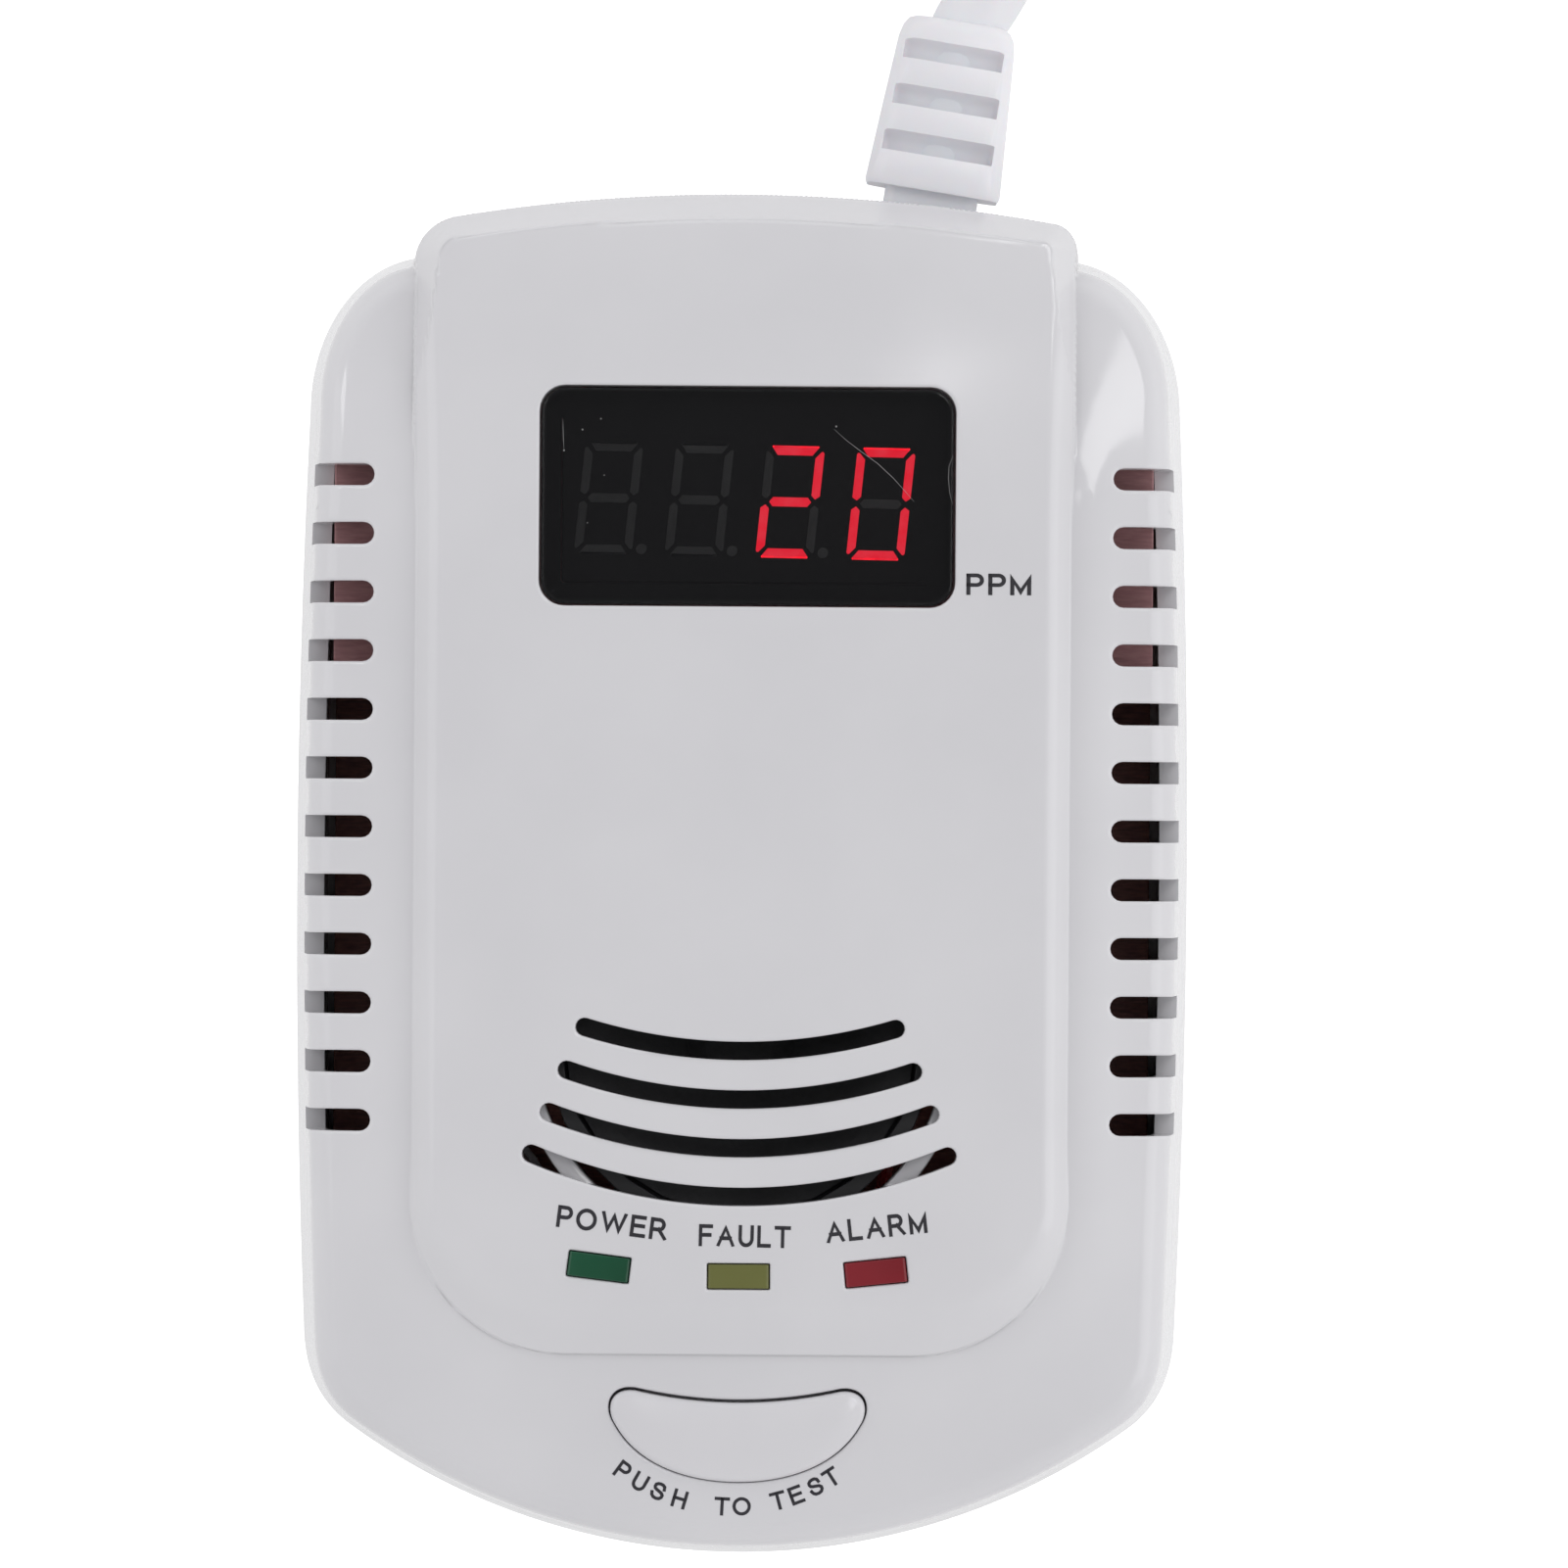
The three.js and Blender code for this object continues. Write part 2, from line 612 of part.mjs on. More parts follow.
function cordTie() {
  const { inner, outer, floor, top } = COIL;
  const depth = outer - inner + 2 * GAP;
  const height = top - floor + 2 * GAP;
  const { thick, width } = TIE;
  const middle = (inner + outer) / 2;
  const z = (floor + top) / 2;
  const low = z - height / 2;
  const high = z + height / 2;
  const opening = depth + 1.6;
  const around = box(middle, 0, low - thick, opening + 2 * thick, width, high + thick)
    .subtract(box(middle, 0, low, opening, width + 2, high));
  return around.rotate([0, 0, TIE.angle]).translate([COIL.x, COIL.y, 0]);
}

// The plug points towards -X: a tapered relief, a flat body and two round pins.
function plugBody() {
  const { relief, body, width, thick } = PLUG;
  const section = (wide, high, radius, x) =>
    points2(roundedBox(wide, high, radius), 4).map((p) => [x, p.x, p.y]);
  const outline = points2(roundedBox(width, thick, 3), 4);
  const skinned = skin([
    section(width - 1, thick - 1, 3, -relief - body), section(width, thick, 3, 1 - relief - body),
    section(width, thick, 3, -relief - 22), section(21, 12.6, 3.6, -relief - 5),
    section(12, 10.6, 4.2, -relief), section(7.4, 7.4, 3.6, 0),
  ], outline);
  return skinned.translate([PLUG.x, PLUG.y, PLUG.z]);
}

function plugPin(side) {
  const geometry = new THREE.CylinderGeometry(PLUG.pinRadius, PLUG.pinRadius, PLUG.pin - GAP, 16);
  geometry.rotateZ(Math.PI / 2);
  const end = PLUG.x - PLUG.relief - PLUG.body;
  geometry.translate(end - GAP - (PLUG.pin - GAP) / 2, PLUG.y + side * PLUG.pinGap / 2, PLUG.z);
  return solid(geometry);
}

// ---------------------------------------------------------------- assembly

const group = new THREE.Group();

function add(name, body, color, roughness = 0.45, metalness = 0) {
  const material = new THREE.MeshStandardMaterial({ color, roughness, metalness });
  const mesh = new THREE.Mesh(geometryOf(body), material);
  mesh.name = name;
  group.add(mesh);
}

add('rear_case', rearCase(), COLOR.white, 0.3);
add('front_case', frontCase(), COLOR.white, 0.25);
BOSS.places.forEach(([x, y], i) => {
  add(`case_screw_${i + 1}`, caseScrew(x, y), COLOR.steel, 0.35, 1);
});

add('display_window', displayWindow(), COLOR.smoke, 0.05);
add('display_module', displayModule(), COLOR.black, 0.5);
add('display_board', displayBoard(), COLOR.board, 0.6);
add('lamp_board', lampBoard(), COLOR.board, 0.6);
add('main_board', mainBoard(), COLOR.board, 0.6);
BOARD_SCREWS.forEach((x, i) => {
  add(`board_screw_${i + 1}`, boardScrew(x), COLOR.steel, 0.35, 1);
});

LEDS.forEach((led) => add(led.name, indicator(led), led.color, 0.3));
add('test_button', testButton(), COLOR.white, 0.3);
add('switch_body', switchBody(), COLOR.black, 0.5);
add('switch_plunger', switchPlunger(), COLOR.black, 0.5);

add('speaker_frame', speakerFrame(), COLOR.black, 0.4, 0.4);
add('speaker_cone', speakerCone(), COLOR.black, 0.8);
add('speaker_magnet', speakerMagnet(), COLOR.steel, 0.35, 1);
add('gas_sensor', gasSensor(), COLOR.steel, 0.35, 1);

add('transformer', transformer(), COLOR.amber, 0.5);
add('capacitor_large', capacitor(-8, 26, 4, 8), COLOR.blue, 0.35);
add('capacitor_small', capacitor(22, -14, 2.5, 7), COLOR.black, 0.35);
add('fuse', fuse(), COLOR.glass, 0.1);
add('varistor', varistor(), COLOR.blue, 0.4);
add('bridge_rectifier', chip(-22, 30, 8, 6, 2.6), COLOR.black, 0.5);
add('microcontroller', chip(-20, 8, 12, 7.5, 2), COLOR.black, 0.5);
add('display_header', header(0, 16.6, 22, BOARD_TOP, DISPLAY_BOARD.z - GAP), COLOR.black, 0.5);
add('lamp_header', header(0, -42, 12, BOARD_TOP, LAMP_BOARD.z - GAP), COLOR.black, 0.5);
for (const [name, { color, radius, route }] of Object.entries(leads)) {
  add(name, tube(route, radius, 4, 10), color, 0.5);
}

add('strain_relief', strainRelief(), COLOR.vinyl, 0.35);
add('power_cord', tube(LEAD_ROUTE, CORD.radius, CORD.sides / 2, 6), COLOR.vinyl, 0.35);
add('cord_tail', tube(TAIL_ROUTE, CORD.radius, CORD.sides / 2, 9), COLOR.vinyl, 0.35);
add('cord_coil', coil(), COLOR.vinyl, 0.35);
add('cord_tie', cordTie(), COLOR.grey, 0.6);
add('plug_body', plugBody(), COLOR.vinyl, 0.35);
add('plug_pin_1', plugPin(-1), COLOR.steel, 0.25, 1);
add('plug_pin_2', plugPin(1), COLOR.steel, 0.25, 1);

export default group;
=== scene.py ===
"""Looks of a carbon monoxide detector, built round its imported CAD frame.

Lengths inside the shape functions are millimetres; make_mesh() turns them into metres. The case lies on
its back, front towards +Z and top end towards +Y, and the camera looks straight down on it.
"""

import math

import bmesh
import bpy
import numpy as np
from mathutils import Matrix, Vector, geometry


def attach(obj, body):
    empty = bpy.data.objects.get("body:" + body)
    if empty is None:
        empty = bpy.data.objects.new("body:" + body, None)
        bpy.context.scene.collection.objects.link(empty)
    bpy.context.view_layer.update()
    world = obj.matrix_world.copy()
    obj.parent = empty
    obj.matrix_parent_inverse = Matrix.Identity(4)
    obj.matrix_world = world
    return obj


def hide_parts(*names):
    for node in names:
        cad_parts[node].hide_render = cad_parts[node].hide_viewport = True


MM = 0.001
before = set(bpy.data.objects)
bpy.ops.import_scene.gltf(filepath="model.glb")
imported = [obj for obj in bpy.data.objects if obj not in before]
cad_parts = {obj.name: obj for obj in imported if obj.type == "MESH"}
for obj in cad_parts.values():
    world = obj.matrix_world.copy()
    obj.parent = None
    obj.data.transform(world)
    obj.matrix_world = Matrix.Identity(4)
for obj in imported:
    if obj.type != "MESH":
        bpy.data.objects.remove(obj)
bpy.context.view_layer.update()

# ---------------------------------------------------------------- driving dimensions, in millimetres

SPLIT = 11.3
DRAFT = 0.0758  # how far the walls lean in for each millimetre of height
WALL = 1.6
CASE = {"half": 37.1, "corner_half": 36.25, "corner_y": 38.5, "bottom": -56.45, "bottom_radius": 55.4,
        "bottom_half": 32.6, "hip_y": -43.3}
WING = {"z": 35.0, "drop_start": 31.0, "drop_radius": 55.0, "end": 51.3, "corner_x": 26.4, "round": 2.0}
# right and left are the radii of the tongue's upper corners, low that of its lower ones
TONGUE = {"half": 27.4, "bottom": -39.7, "low": 13.5, "right": 3.2, "left": 4.2, "top": 56.5,
          "top_radius": 140.0, "z": 38.0}
FOOT = {"half": 27.7, "right": 2.8, "left": 4.6}  # the same at the foot of the tongue's steep walls
# the tongue's sides: where the slope starts, and how steep the slope, the facet and the wall are
SIDE = {"z": 35.8, "inset": 0.65, "slope": 1.15, "facet": 2.6, "facet_fall": 0.36, "wall": 38}
WINDOW = {"x": 0.3, "y": 31.05, "width": 34.0, "height": 18.0, "radius": 2.1, "face": 37.4, "back": 35.1}
VENT = {"count": 12, "first": 32.7, "pitch": 4.8, "width": 1.8, "inner": 30.2, "depth": 9.0}
SLOT = {"count": 4, "first": -14.2, "pitch": 3.97, "width": 1.5, "radius": 44.0, "half": 12.7,
        "growth": 1.43}
LED = {"width": 5.14, "height": 2.14, "radius": 0.1}  # a lamp's hole
LED_PLACES = {"led_power": (-11.4, -31.9, -7), "led_fault": (0.0, -32.6, 0), "led_alarm": (11.2, -32.2, 6)}
BUTTON = {"top": 35.5, "under": 31.5, "crown": 0.25, "edge": 0.55, "gap": 0.15, "spine_y": -46.1}
SPEAKER = {"y": -13.3, "rib": 17.6, "rib_wall": 1.6, "rib_low": 30, "rib_high": 35.6, "rib_edge": 0.3}
HOLE_EDGE = 0.22
LEAD_RADIUS = 3
BOOT = {"x": 15.2, "y": 55.7, "z": 13.0, "lean": 9.1, "length": 15.5, "slots": (4.75, 8.65, 12.55)}
TIE = {"r": 32.95, "z": 7.1, "across": 19.6, "tall": 13.4, "round": 3.4, "turn": 150, "width": 7.0,
       "thick": 0.6}
PLUG = {"x": 16.5, "y": 190.0, "z": 7.15, "length": 53, "pin_y": 9.3, "sleeve": 8.85}

# ---------------------------------------------------------------- camera

VIEW = {"x": 3.44, "y": 7.6, "plane": 36.0, "distance": 1200.0, "width": 128.08, "roll": 0.4}


def make_camera():
    data = bpy.data.cameras.new("camera")
    data.sensor_width = 36
    data.lens = data.sensor_width * VIEW["distance"] / VIEW["width"]
    data.clip_start = 0.05
    data.clip_end = 20
    camera = bpy.data.objects.new("camera", data)
    bpy.context.collection.objects.link(camera)
    camera.location = (VIEW["x"] * MM, VIEW["y"] * MM, (VIEW["plane"] + VIEW["distance"]) * MM)
    camera.rotation_euler = (0, 0, math.radians(VIEW["roll"]))
    bpy.context.scene.camera = camera


make_camera()

# ---------------------------------------------------------------- materials


def new_material(name):
    material = bpy.data.materials.new(name)
    material.use_nodes = True
    nodes = material.node_tree.nodes
    return material, nodes, material.node_tree.links, nodes["Principled BSDF"]


def noise(nodes, links, scale, detail=4.0, stretch=(1, 1, 1)):
    """A noise texture in metres of the object's own space."""
    mapping = nodes.new("ShaderNodeMapping")
    mapping.inputs["Scale"].default_value = stretch
    links.new(nodes.new("ShaderNodeTexCoord").outputs["Object"], mapping.inputs["Vector"])
    texture = nodes.new("ShaderNodeTexNoise")
    texture.inputs["Scale"].default_value = scale
    texture.inputs["Detail"].default_value = detail
    links.new(mapping.outputs["Vector"], texture.inputs["Vector"])
    return texture.outputs["Fac"]


def ramp(nodes, links, value, low, high, dark, light):
    """A colour that goes from dark to light as value goes from low to high."""
    found = nodes.new("ShaderNodeValToRGB")
    found.color_ramp.elements[0].position = low
    found.color_ramp.elements[1].position = high
    found.color_ramp.elements[0].color = (*dark, 1)
    found.color_ramp.elements[1].color = (*light, 1)
    links.new(value, found.inputs["Fac"])
    return found.outputs["Color"]


def spread_of(nodes, links, value, low, high):
    """value, which is from 0.3 to 0.7, spread from low to high."""
    found = nodes.new("ShaderNodeMapRange")
    found.inputs["From Min"].default_value = 0.3
    found.inputs["From Max"].default_value = 0.7
    found.inputs["To Min"].default_value = low
    found.inputs["To Max"].default_value = high
    links.new(value, found.inputs["Value"])
    return found.outputs["Result"]


def bumped(nodes, links, shader, value, strength, distance):
    bump = nodes.new("ShaderNodeBump")
    bump.inputs["Strength"].default_value = strength
    bump.inputs["Distance"].default_value = distance
    links.new(value, bump.inputs["Height"])
    links.new(bump.outputs["Normal"], shader.inputs["Normal"])


def moulded(name, dark, light, rough, grain=9000, depth=0.00002, strength=0.15, **sockets):
    """Moulded plastic or metal: a faint cloudiness, uneven gloss and a fine grain."""
    material, nodes, links, shader = new_material(name)
    clouds = noise(nodes, links, 60)
    links.new(ramp(nodes, links, clouds, 0.35, 0.65, dark, light), shader.inputs["Base Color"])
    smears = noise(nodes, links, 140, 6.0, (1, 0.35, 1))
    links.new(spread_of(nodes, links, smears, *rough), shader.inputs["Roughness"])
    fine = noise(nodes, links, grain, 2.0)
    bumped(nodes, links, shader, fine, strength, depth)
    for socket, value in sockets.items():
        shader.inputs[socket.replace("_", " ")].default_value = value
    return material


def brushed(name, dark, light, rough):
    return moulded(name, dark, light, rough, grain=3000, strength=0.25, Metallic=1.0)


def board_material(name, dark, light):
    """Brown phenolic board: fibres and faint mottling."""
    material, nodes, links, shader = new_material(name)
    fibres = noise(nodes, links, 700, 8.0, (1, 6, 1))
    links.new(ramp(nodes, links, fibres, 0.3, 0.7, dark, light), shader.inputs["Base Color"])
    links.new(spread_of(nodes, links, fibres, 0.35, 0.6), shader.inputs["Roughness"])
    bumped(nodes, links, shader, fibres, 0.3, 0.00005)
    return material


def window_material():
    """Smoked acrylic with fine dust and smears."""
    material, nodes, links, shader = new_material("smoked_acrylic")
    dust = noise(nodes, links, 2600, 3.0)
    links.new(ramp(nodes, links, dust, 0.72, 0.78, (0.006, 0.006, 0.007), (0.05, 0.05, 0.055)),
              shader.inputs["Base Color"])
    smears = noise(nodes, links, 90, 6.0, (0.4, 1, 1))
    links.new(spread_of(nodes, links, smears, 0.02, 0.09), shader.inputs["Roughness"])
    shader.inputs["Alpha"].default_value = 0.45
    shader.inputs["IOR"].default_value = 1.49
    return material


def glowing_material():
    """Lit display segments: red, a little brighter in patches."""
    material, nodes, links, shader = new_material("lit_segment")
    patches = noise(nodes, links, 900, 2.0)
    glow = ramp(nodes, links, patches, 0.3, 0.7, (1.0, 0.01, 0.035), (1.0, 0.035, 0.065))
    links.new(glow, shader.inputs["Emission Color"])
    links.new(glow, shader.inputs["Base Color"])
    shader.inputs["Emission Strength"].default_value = 2.0
    shader.inputs["Roughness"].default_value = 0.5
    return material


MATERIALS = {
    "case_white": moulded("white_abs", (0.69, 0.684, 0.702), (0.715, 0.709, 0.726), (0.08, 0.14),
                           depth=0.000004, strength=0.06),
    "button_white": moulded("white_abs_button", (0.7, 0.692, 0.712), (0.725, 0.717, 0.735), (0.12, 0.2)),
    "smoked_window": window_material(),
    "display_face": moulded("display_filter", (0.012, 0.012, 0.013), (0.02, 0.02, 0.021), (0.45, 0.6)),
    "brown_board": board_material("phenolic_board", (0.19, 0.075, 0.062), (0.36, 0.155, 0.13)),
    "green_led": moulded("green_lens", (0.002, 0.058, 0.024), (0.006, 0.09, 0.04), (0.25, 0.4)),
    "amber_led": moulded("amber_lens", (0.14, 0.145, 0.04), (0.19, 0.2, 0.065), (0.25, 0.4)),
    "red_led": moulded("red_lens", (0.17, 0.004, 0.01), (0.26, 0.01, 0.02), (0.25, 0.4)),
    "black_plastic": moulded("black_moulding", (0.012, 0.012, 0.013), (0.022, 0.022, 0.024), (0.35, 0.5)),
    "cone_paper": moulded("black_paper", (0.014, 0.014, 0.015), (0.034, 0.034, 0.036), (0.8, 0.95),
                          grain=2500, depth=0.0001, strength=0.6),
    "steel": brushed("zinc_plate", (0.5, 0.51, 0.53), (0.64, 0.65, 0.67), (0.25, 0.4)),
    "nickel": brushed("nickel_plate", (0.66, 0.64, 0.6), (0.76, 0.74, 0.7), (0.12, 0.25)),
    "yellow_tape": moulded("winding_tape", (0.62, 0.4, 0.05), (0.75, 0.52, 0.1), (0.3, 0.45)),
    "blue_sleeve": moulded("shrunk_sleeve", (0.015, 0.05, 0.2), (0.03, 0.09, 0.28), (0.25, 0.4)),
    "fuse_glass": moulded("fuse_ceramic", (0.68, 0.67, 0.62), (0.78, 0.77, 0.72), (0.2, 0.35)),
    "brown_wire": moulded("brown_insulation", (0.14, 0.06, 0.02), (0.2, 0.09, 0.04), (0.4, 0.55)),
    "blue_wire": moulded("blue_insulation", (0.02, 0.08, 0.3), (0.04, 0.12, 0.4), (0.4, 0.55)),
    "red_wire": moulded("red_insulation", (0.35, 0.02, 0.02), (0.45, 0.03, 0.03), (0.4, 0.55)),
    "black_wire": moulded("black_insulation", (0.012, 0.012, 0.012), (0.022, 0.022, 0.022), (0.4, 0.55)),
    "white_vinyl": moulded("white_vinyl", (0.82, 0.817, 0.845), (0.86, 0.857, 0.885), (0.28, 0.42),
                           grain=5000, strength=0.2, Subsurface_Weight=0.12, Subsurface_Scale=0.002),
    "tie": moulded("woven_strap", (0.03, 0.03, 0.034), (0.07, 0.07, 0.075), (0.75, 0.95), grain=3500,
                   depth=0.0002, strength=0.8),
}
GLOWING = glowing_material()
# a lighter copy of the brown board: painted light, which stands in for the light that reaches the display
# board through the upper vents
PAINTED_LIT_BOARD = board_material("phenolic_board_painted_light", (0.5, 0.24, 0.25), (0.64, 0.34, 0.35))
INK = moulded("black_ink", (0.016, 0.015, 0.02), (0.028, 0.026, 0.034), (0.4, 0.55))
DUST = moulded("dust", (0.14, 0.14, 0.14), (0.26, 0.26, 0.26), (0.5, 0.8))
UNLIT = moulded("unlit_segment", (0.14, 0.14, 0.14), (0.19, 0.19, 0.19), (0.5, 0.7))

# ---------------------------------------------------------------- outlines


def arc(x, y, radius, start, end, count, radius_y=None):
    """Points of an arc or elliptical arc, in degrees, both ends included."""
    angles = np.radians(np.linspace(start, end, count))
    return [(x + radius * math.cos(a), y + (radius_y or radius) * math.sin(a)) for a in angles]


def bezier(points, count):
    """Points of a Bezier curve of any order, both ends included."""
    found = []
    for t in np.linspace(0, 1, count):
        line = [np.array(p, float) for p in points]
        while len(line) > 1:
            line = [(1 - t) * a + t * b for a, b in zip(line, line[1:])]
        found.append(tuple(line[0]))
    return found


def evenly(points, step):
    """A closed outline, counter-clockwise, with its own corners and points at most step apart."""
    found = []
    if sum(a[0] * b[1] - b[0] * a[1] for a, b in zip(points, points[1:] + points[:1])) < 0:
        points = points[::-1]
    for a, b in zip(points, points[1:] + points[:1]):
        a, b = np.array(a, float), np.array(b, float)
        long = np.linalg.norm(b - a)
        if long < 1e-6:
            continue
        pieces = max(1, math.ceil(long / step - 1e-9))
        found += [tuple(a + (b - a) * k / pieces) for k in range(pieces)]
    return np.array(found)


def wing_outline():
    """Bowed sides, elliptical upper corners, soft lower ones and an arc round the bottom end."""
    x, y, r = CASE["corner_half"], CASE["corner_y"], CASE["bottom_radius"]
    bow, centre = 2 * CASE["half"] - x, CASE["bottom"] + CASE["bottom_radius"]
    start = math.degrees(math.asin(CASE["bottom_half"] / r))
    low = (CASE["bottom_half"], centre - r * math.cos(math.radians(start)))
    across, up = x - WING["corner_x"], WING["end"] - y
    return (
        bezier([(x, -y), (bow, 0), (x, y)], 60)[:-1]
        + arc(WING["corner_x"], y, across, 0, 90, 30, up)
        + arc(-WING["corner_x"], y, across, 90, 180, 30, up)[:-1]
        + bezier([(-x, y), (-bow, 0), (-x, -y)], 60)[:-1]
        + bezier([(-x, -y), (-x + 0.3, CASE["hip_y"]), (-low[0], low[1])], 16)[:-1]
        + arc(0, centre, r, 270 - start, 270 + start, 70)[:-1]
        + bezier([low, (x - 0.3, CASE["hip_y"]), (x, -y)], 16)[:-1]
    )


def tongue_outline(x, right, left):
    """Straight sides, a U at the bottom, a shallow curve at the top and upper corners of two radii."""
    low, sweep = TONGUE["low"], 81
    steep = math.radians(sweep)

    def upper_corner(radius):
        middle = TONGUE["top"] - (x - radius) ** 2 / (2 * TONGUE["top_radius"]) - radius
        return middle, (x - radius + radius * math.cos(steep), middle + radius * math.sin(steep))

    (right_y, right_end), (left_y, left_end) = upper_corner(right), upper_corner(left)
    crest = 2 * TONGUE["top"] - (right_end[1] + left_end[1]) / 2
    return (
        [(x, TONGUE["bottom"] + low)]
        + arc(x - right, right_y, right, 0, sweep, 18)[:-1]
        + bezier([right_end, (0, crest), (-left_end[0], left_end[1])], 60)[:-1]
        + arc(-x + left, left_y, left, 180 - sweep, 180, 18)
        + arc(-x + low, TONGUE["bottom"] + low, low, 180, 270, 34)
        + arc(x - low, TONGUE["bottom"] + low, low, 270, 360, 34)[:-1]
    )


def placed(points, x, y, turn):
    """Points turned about the origin by an angle in degrees, then moved."""
    c, s = math.cos(math.radians(turn)), math.sin(math.radians(turn))
    across, up = np.asarray(points, float).T
    return np.column_stack([x + c * across - s * up, y + s * across + c * up])


def rounded_rectangle(x, y, width, height, radius, turn=0, count=8):
    u, v = width / 2 - radius, height / 2 - radius
    corners = [(u, v, 0), (-u, v, 90), (-u, -v, 180), (u, -v, 270)]
    flat = [p for cx, cy, a in corners for p in arc(cx, cy, radius, a, a + 90, count)]
    return placed(flat, x, y, turn).tolist()


def window_outline(inset, radius, count=8):
    """The window's outline, smaller by inset in width and height."""
    return rounded_rectangle(WINDOW["x"], WINDOW["y"], WINDOW["width"] - inset, WINDOW["height"] - inset,
                             radius, count=count)


def button_outline(extra):
    """The button grown by extra: a sagging upper edge, two tight corners and a round belly."""
    corner, side, belly = (8.4, -41.95 + extra), (9.9 + extra, -44.9), (0, -49.4 - extra)
    right = bezier([corner, (10.3 + extra, -41.7 + extra), (11 + extra, -43.3), side], 14)[:-1]
    right += bezier([side, (8.2 + extra, -47.8 - extra), (4.5, belly[1]), belly], 22)[:-1]
    left = [(-px, py) for px, py in right[1:] + [belly]]
    top = bezier([(-corner[0], corner[1]), (0, -43.85 + extra), corner], 24)[:-1]
    return (top + right + left[::-1])[::-1]


def slot_outline(index):
    """One curved speaker slot with round ends."""
    r, width = SLOT["radius"], SLOT["width"] / 2
    centre = SLOT["first"] - index * SLOT["pitch"] + r
    half = math.degrees(math.asin((SLOT["half"] + index * SLOT["growth"]) / r))
    end = r * math.sin(math.radians(half)), centre - r * math.cos(math.radians(half))
    return (
        arc(0, centre, r + width, 270 - half, 270 + half, 44)[:-1]
        + arc(end[0], end[1], width, 270 + half, 450 + half, 9)[:-1]
        + arc(0, centre, r - width, 270 + half, 270 - half, 44)[:-1]
        + arc(-end[0], end[1], width, 90 - half, 270 - half, 9)[:-1]
    )


def vent_outline(side, index):
    """One vent: a round inner end, and an outer end that runs over the shoulder and down the wall."""
    y, r = VENT["first"] - index * VENT["pitch"], VENT["width"] / 2
    low = WING["z"] - wing_drop(y) - VENT["depth"]
    into = DRAFT * (low - SPLIT)
    out = [(np.interp(py, *SIDE_LINE) - into, py) for py in (y - r, y, y + r)]
    inner = arc(VENT["inner"] + r, y, r, 90, 270, 9)
    shape = inner + out if side > 0 else (inner + out)[::-1]
    return [(side * px, py) for px, py in shape]


# ---------------------------------------------------------------- surfaces of the case


def inwards(points, outline):
    """How far each point is inside a closed outline, negative outside it, and the way inwards there."""
    count = len(outline)
    near = np.empty(len(points), int)
    for start in range(0, len(points), 4000):
        p = points[start:start + 4000]
        gap_x = p[:, :1] - outline[:, 0]
        gap_y = p[:, 1:] - outline[:, 1]
        near[start:start + 4000] = (gap_x * gap_x + gap_y * gap_y).argmin(1)
    along = np.roll(outline, -1, axis=0) - outline
    square = (along * along).sum(1)
    square_in = np.stack([-along[:, 1], along[:, 0]], axis=1) / np.sqrt(square)[:, None]
    best = None
    for step in (-1, 0):
        i = (near + step) % count
        t = ((points - outline[i]) * along[i]).sum(1) / square[i]
        at_end = (t <= 0) | (t >= 1)
        gap = points - outline[i] - np.clip(t, 0, 1)[:, None] * along[i]
        long = np.sqrt((gap * gap).sum(1))
        corner = square_in[near] + square_in[(near - 1) % count]
        facing = np.where(at_end[:, None], corner, square_in[i])
        if best is None:
            best, way, face = long, gap, facing
        else:
            closer = long < best
            best = np.where(closer, long, best)
            way = np.where(closer[:, None], gap, way)
            face = np.where(closer[:, None], facing, face)
    sign = np.where((way * face).sum(1) < 0, -1.0, 1.0)
    face = face / np.linalg.norm(face, axis=1)[:, None]
    way = np.where((best > 1e-6)[:, None], sign[:, None] * way / np.maximum(best, 1e-6)[:, None], face)
    return sign * best, way


def inside_distance(points, outline):
    return inwards(points, outline)[0]


def soft_min(a, b, k):
    h = np.clip(0.5 + 0.5 * (b - a) / k, 0, 1)
    return b * (1 - h) + a * h - k * h * (1 - h)


def eased(value, low, high):
    t = np.clip((value - low) / (high - low), 0, 1)
    return t * t * (3 - 2 * t)


def wing_drop(y):
    return np.maximum(0, y - WING["drop_start"]) ** 2 / (2 * WING["drop_radius"])


def wing_top(x, y, tongue_gap):
    """The wings' surface: lower towards the top end and the sides, a little higher along the tongue."""
    high = 0.45 + 0.35 * eased(y, -42, -20)
    foot = high * (1 - eased(y, 28, 44)) * np.exp(-(np.minimum(tongue_gap, 0) / 3.5) ** 2)
    sag = 0.95 * (np.maximum(0, np.abs(x) - 26.5) / 8.5) ** 2
    return WING["z"] + foot - wing_drop(y) - sag


def tongue_top(x, y):
    """The tongue's surface: crowned a little, and bent back towards both ends."""
    crown = 0.8 * (x / 27) ** 2
    back = 1.2 * np.maximum(0, (y - 28) / 25) ** 2
    nose = 0.5 * np.maximum(0, (-20 - y) / 18) ** 2
    return TONGUE["z"] - crown - back - nose


def wing_height(x, y, d, tongue_gap):
    top, radius = wing_top(x, y, tongue_gap), WING["round"]
    wall = DRAFT * (top - radius - SPLIT)
    over = np.clip(d - wall, 0, radius)
    rounded = top - radius + np.sqrt(np.maximum(radius**2 - (radius - over) ** 2, 0))
    return np.where(d < wall, SPLIT + d / DRAFT, rounded)


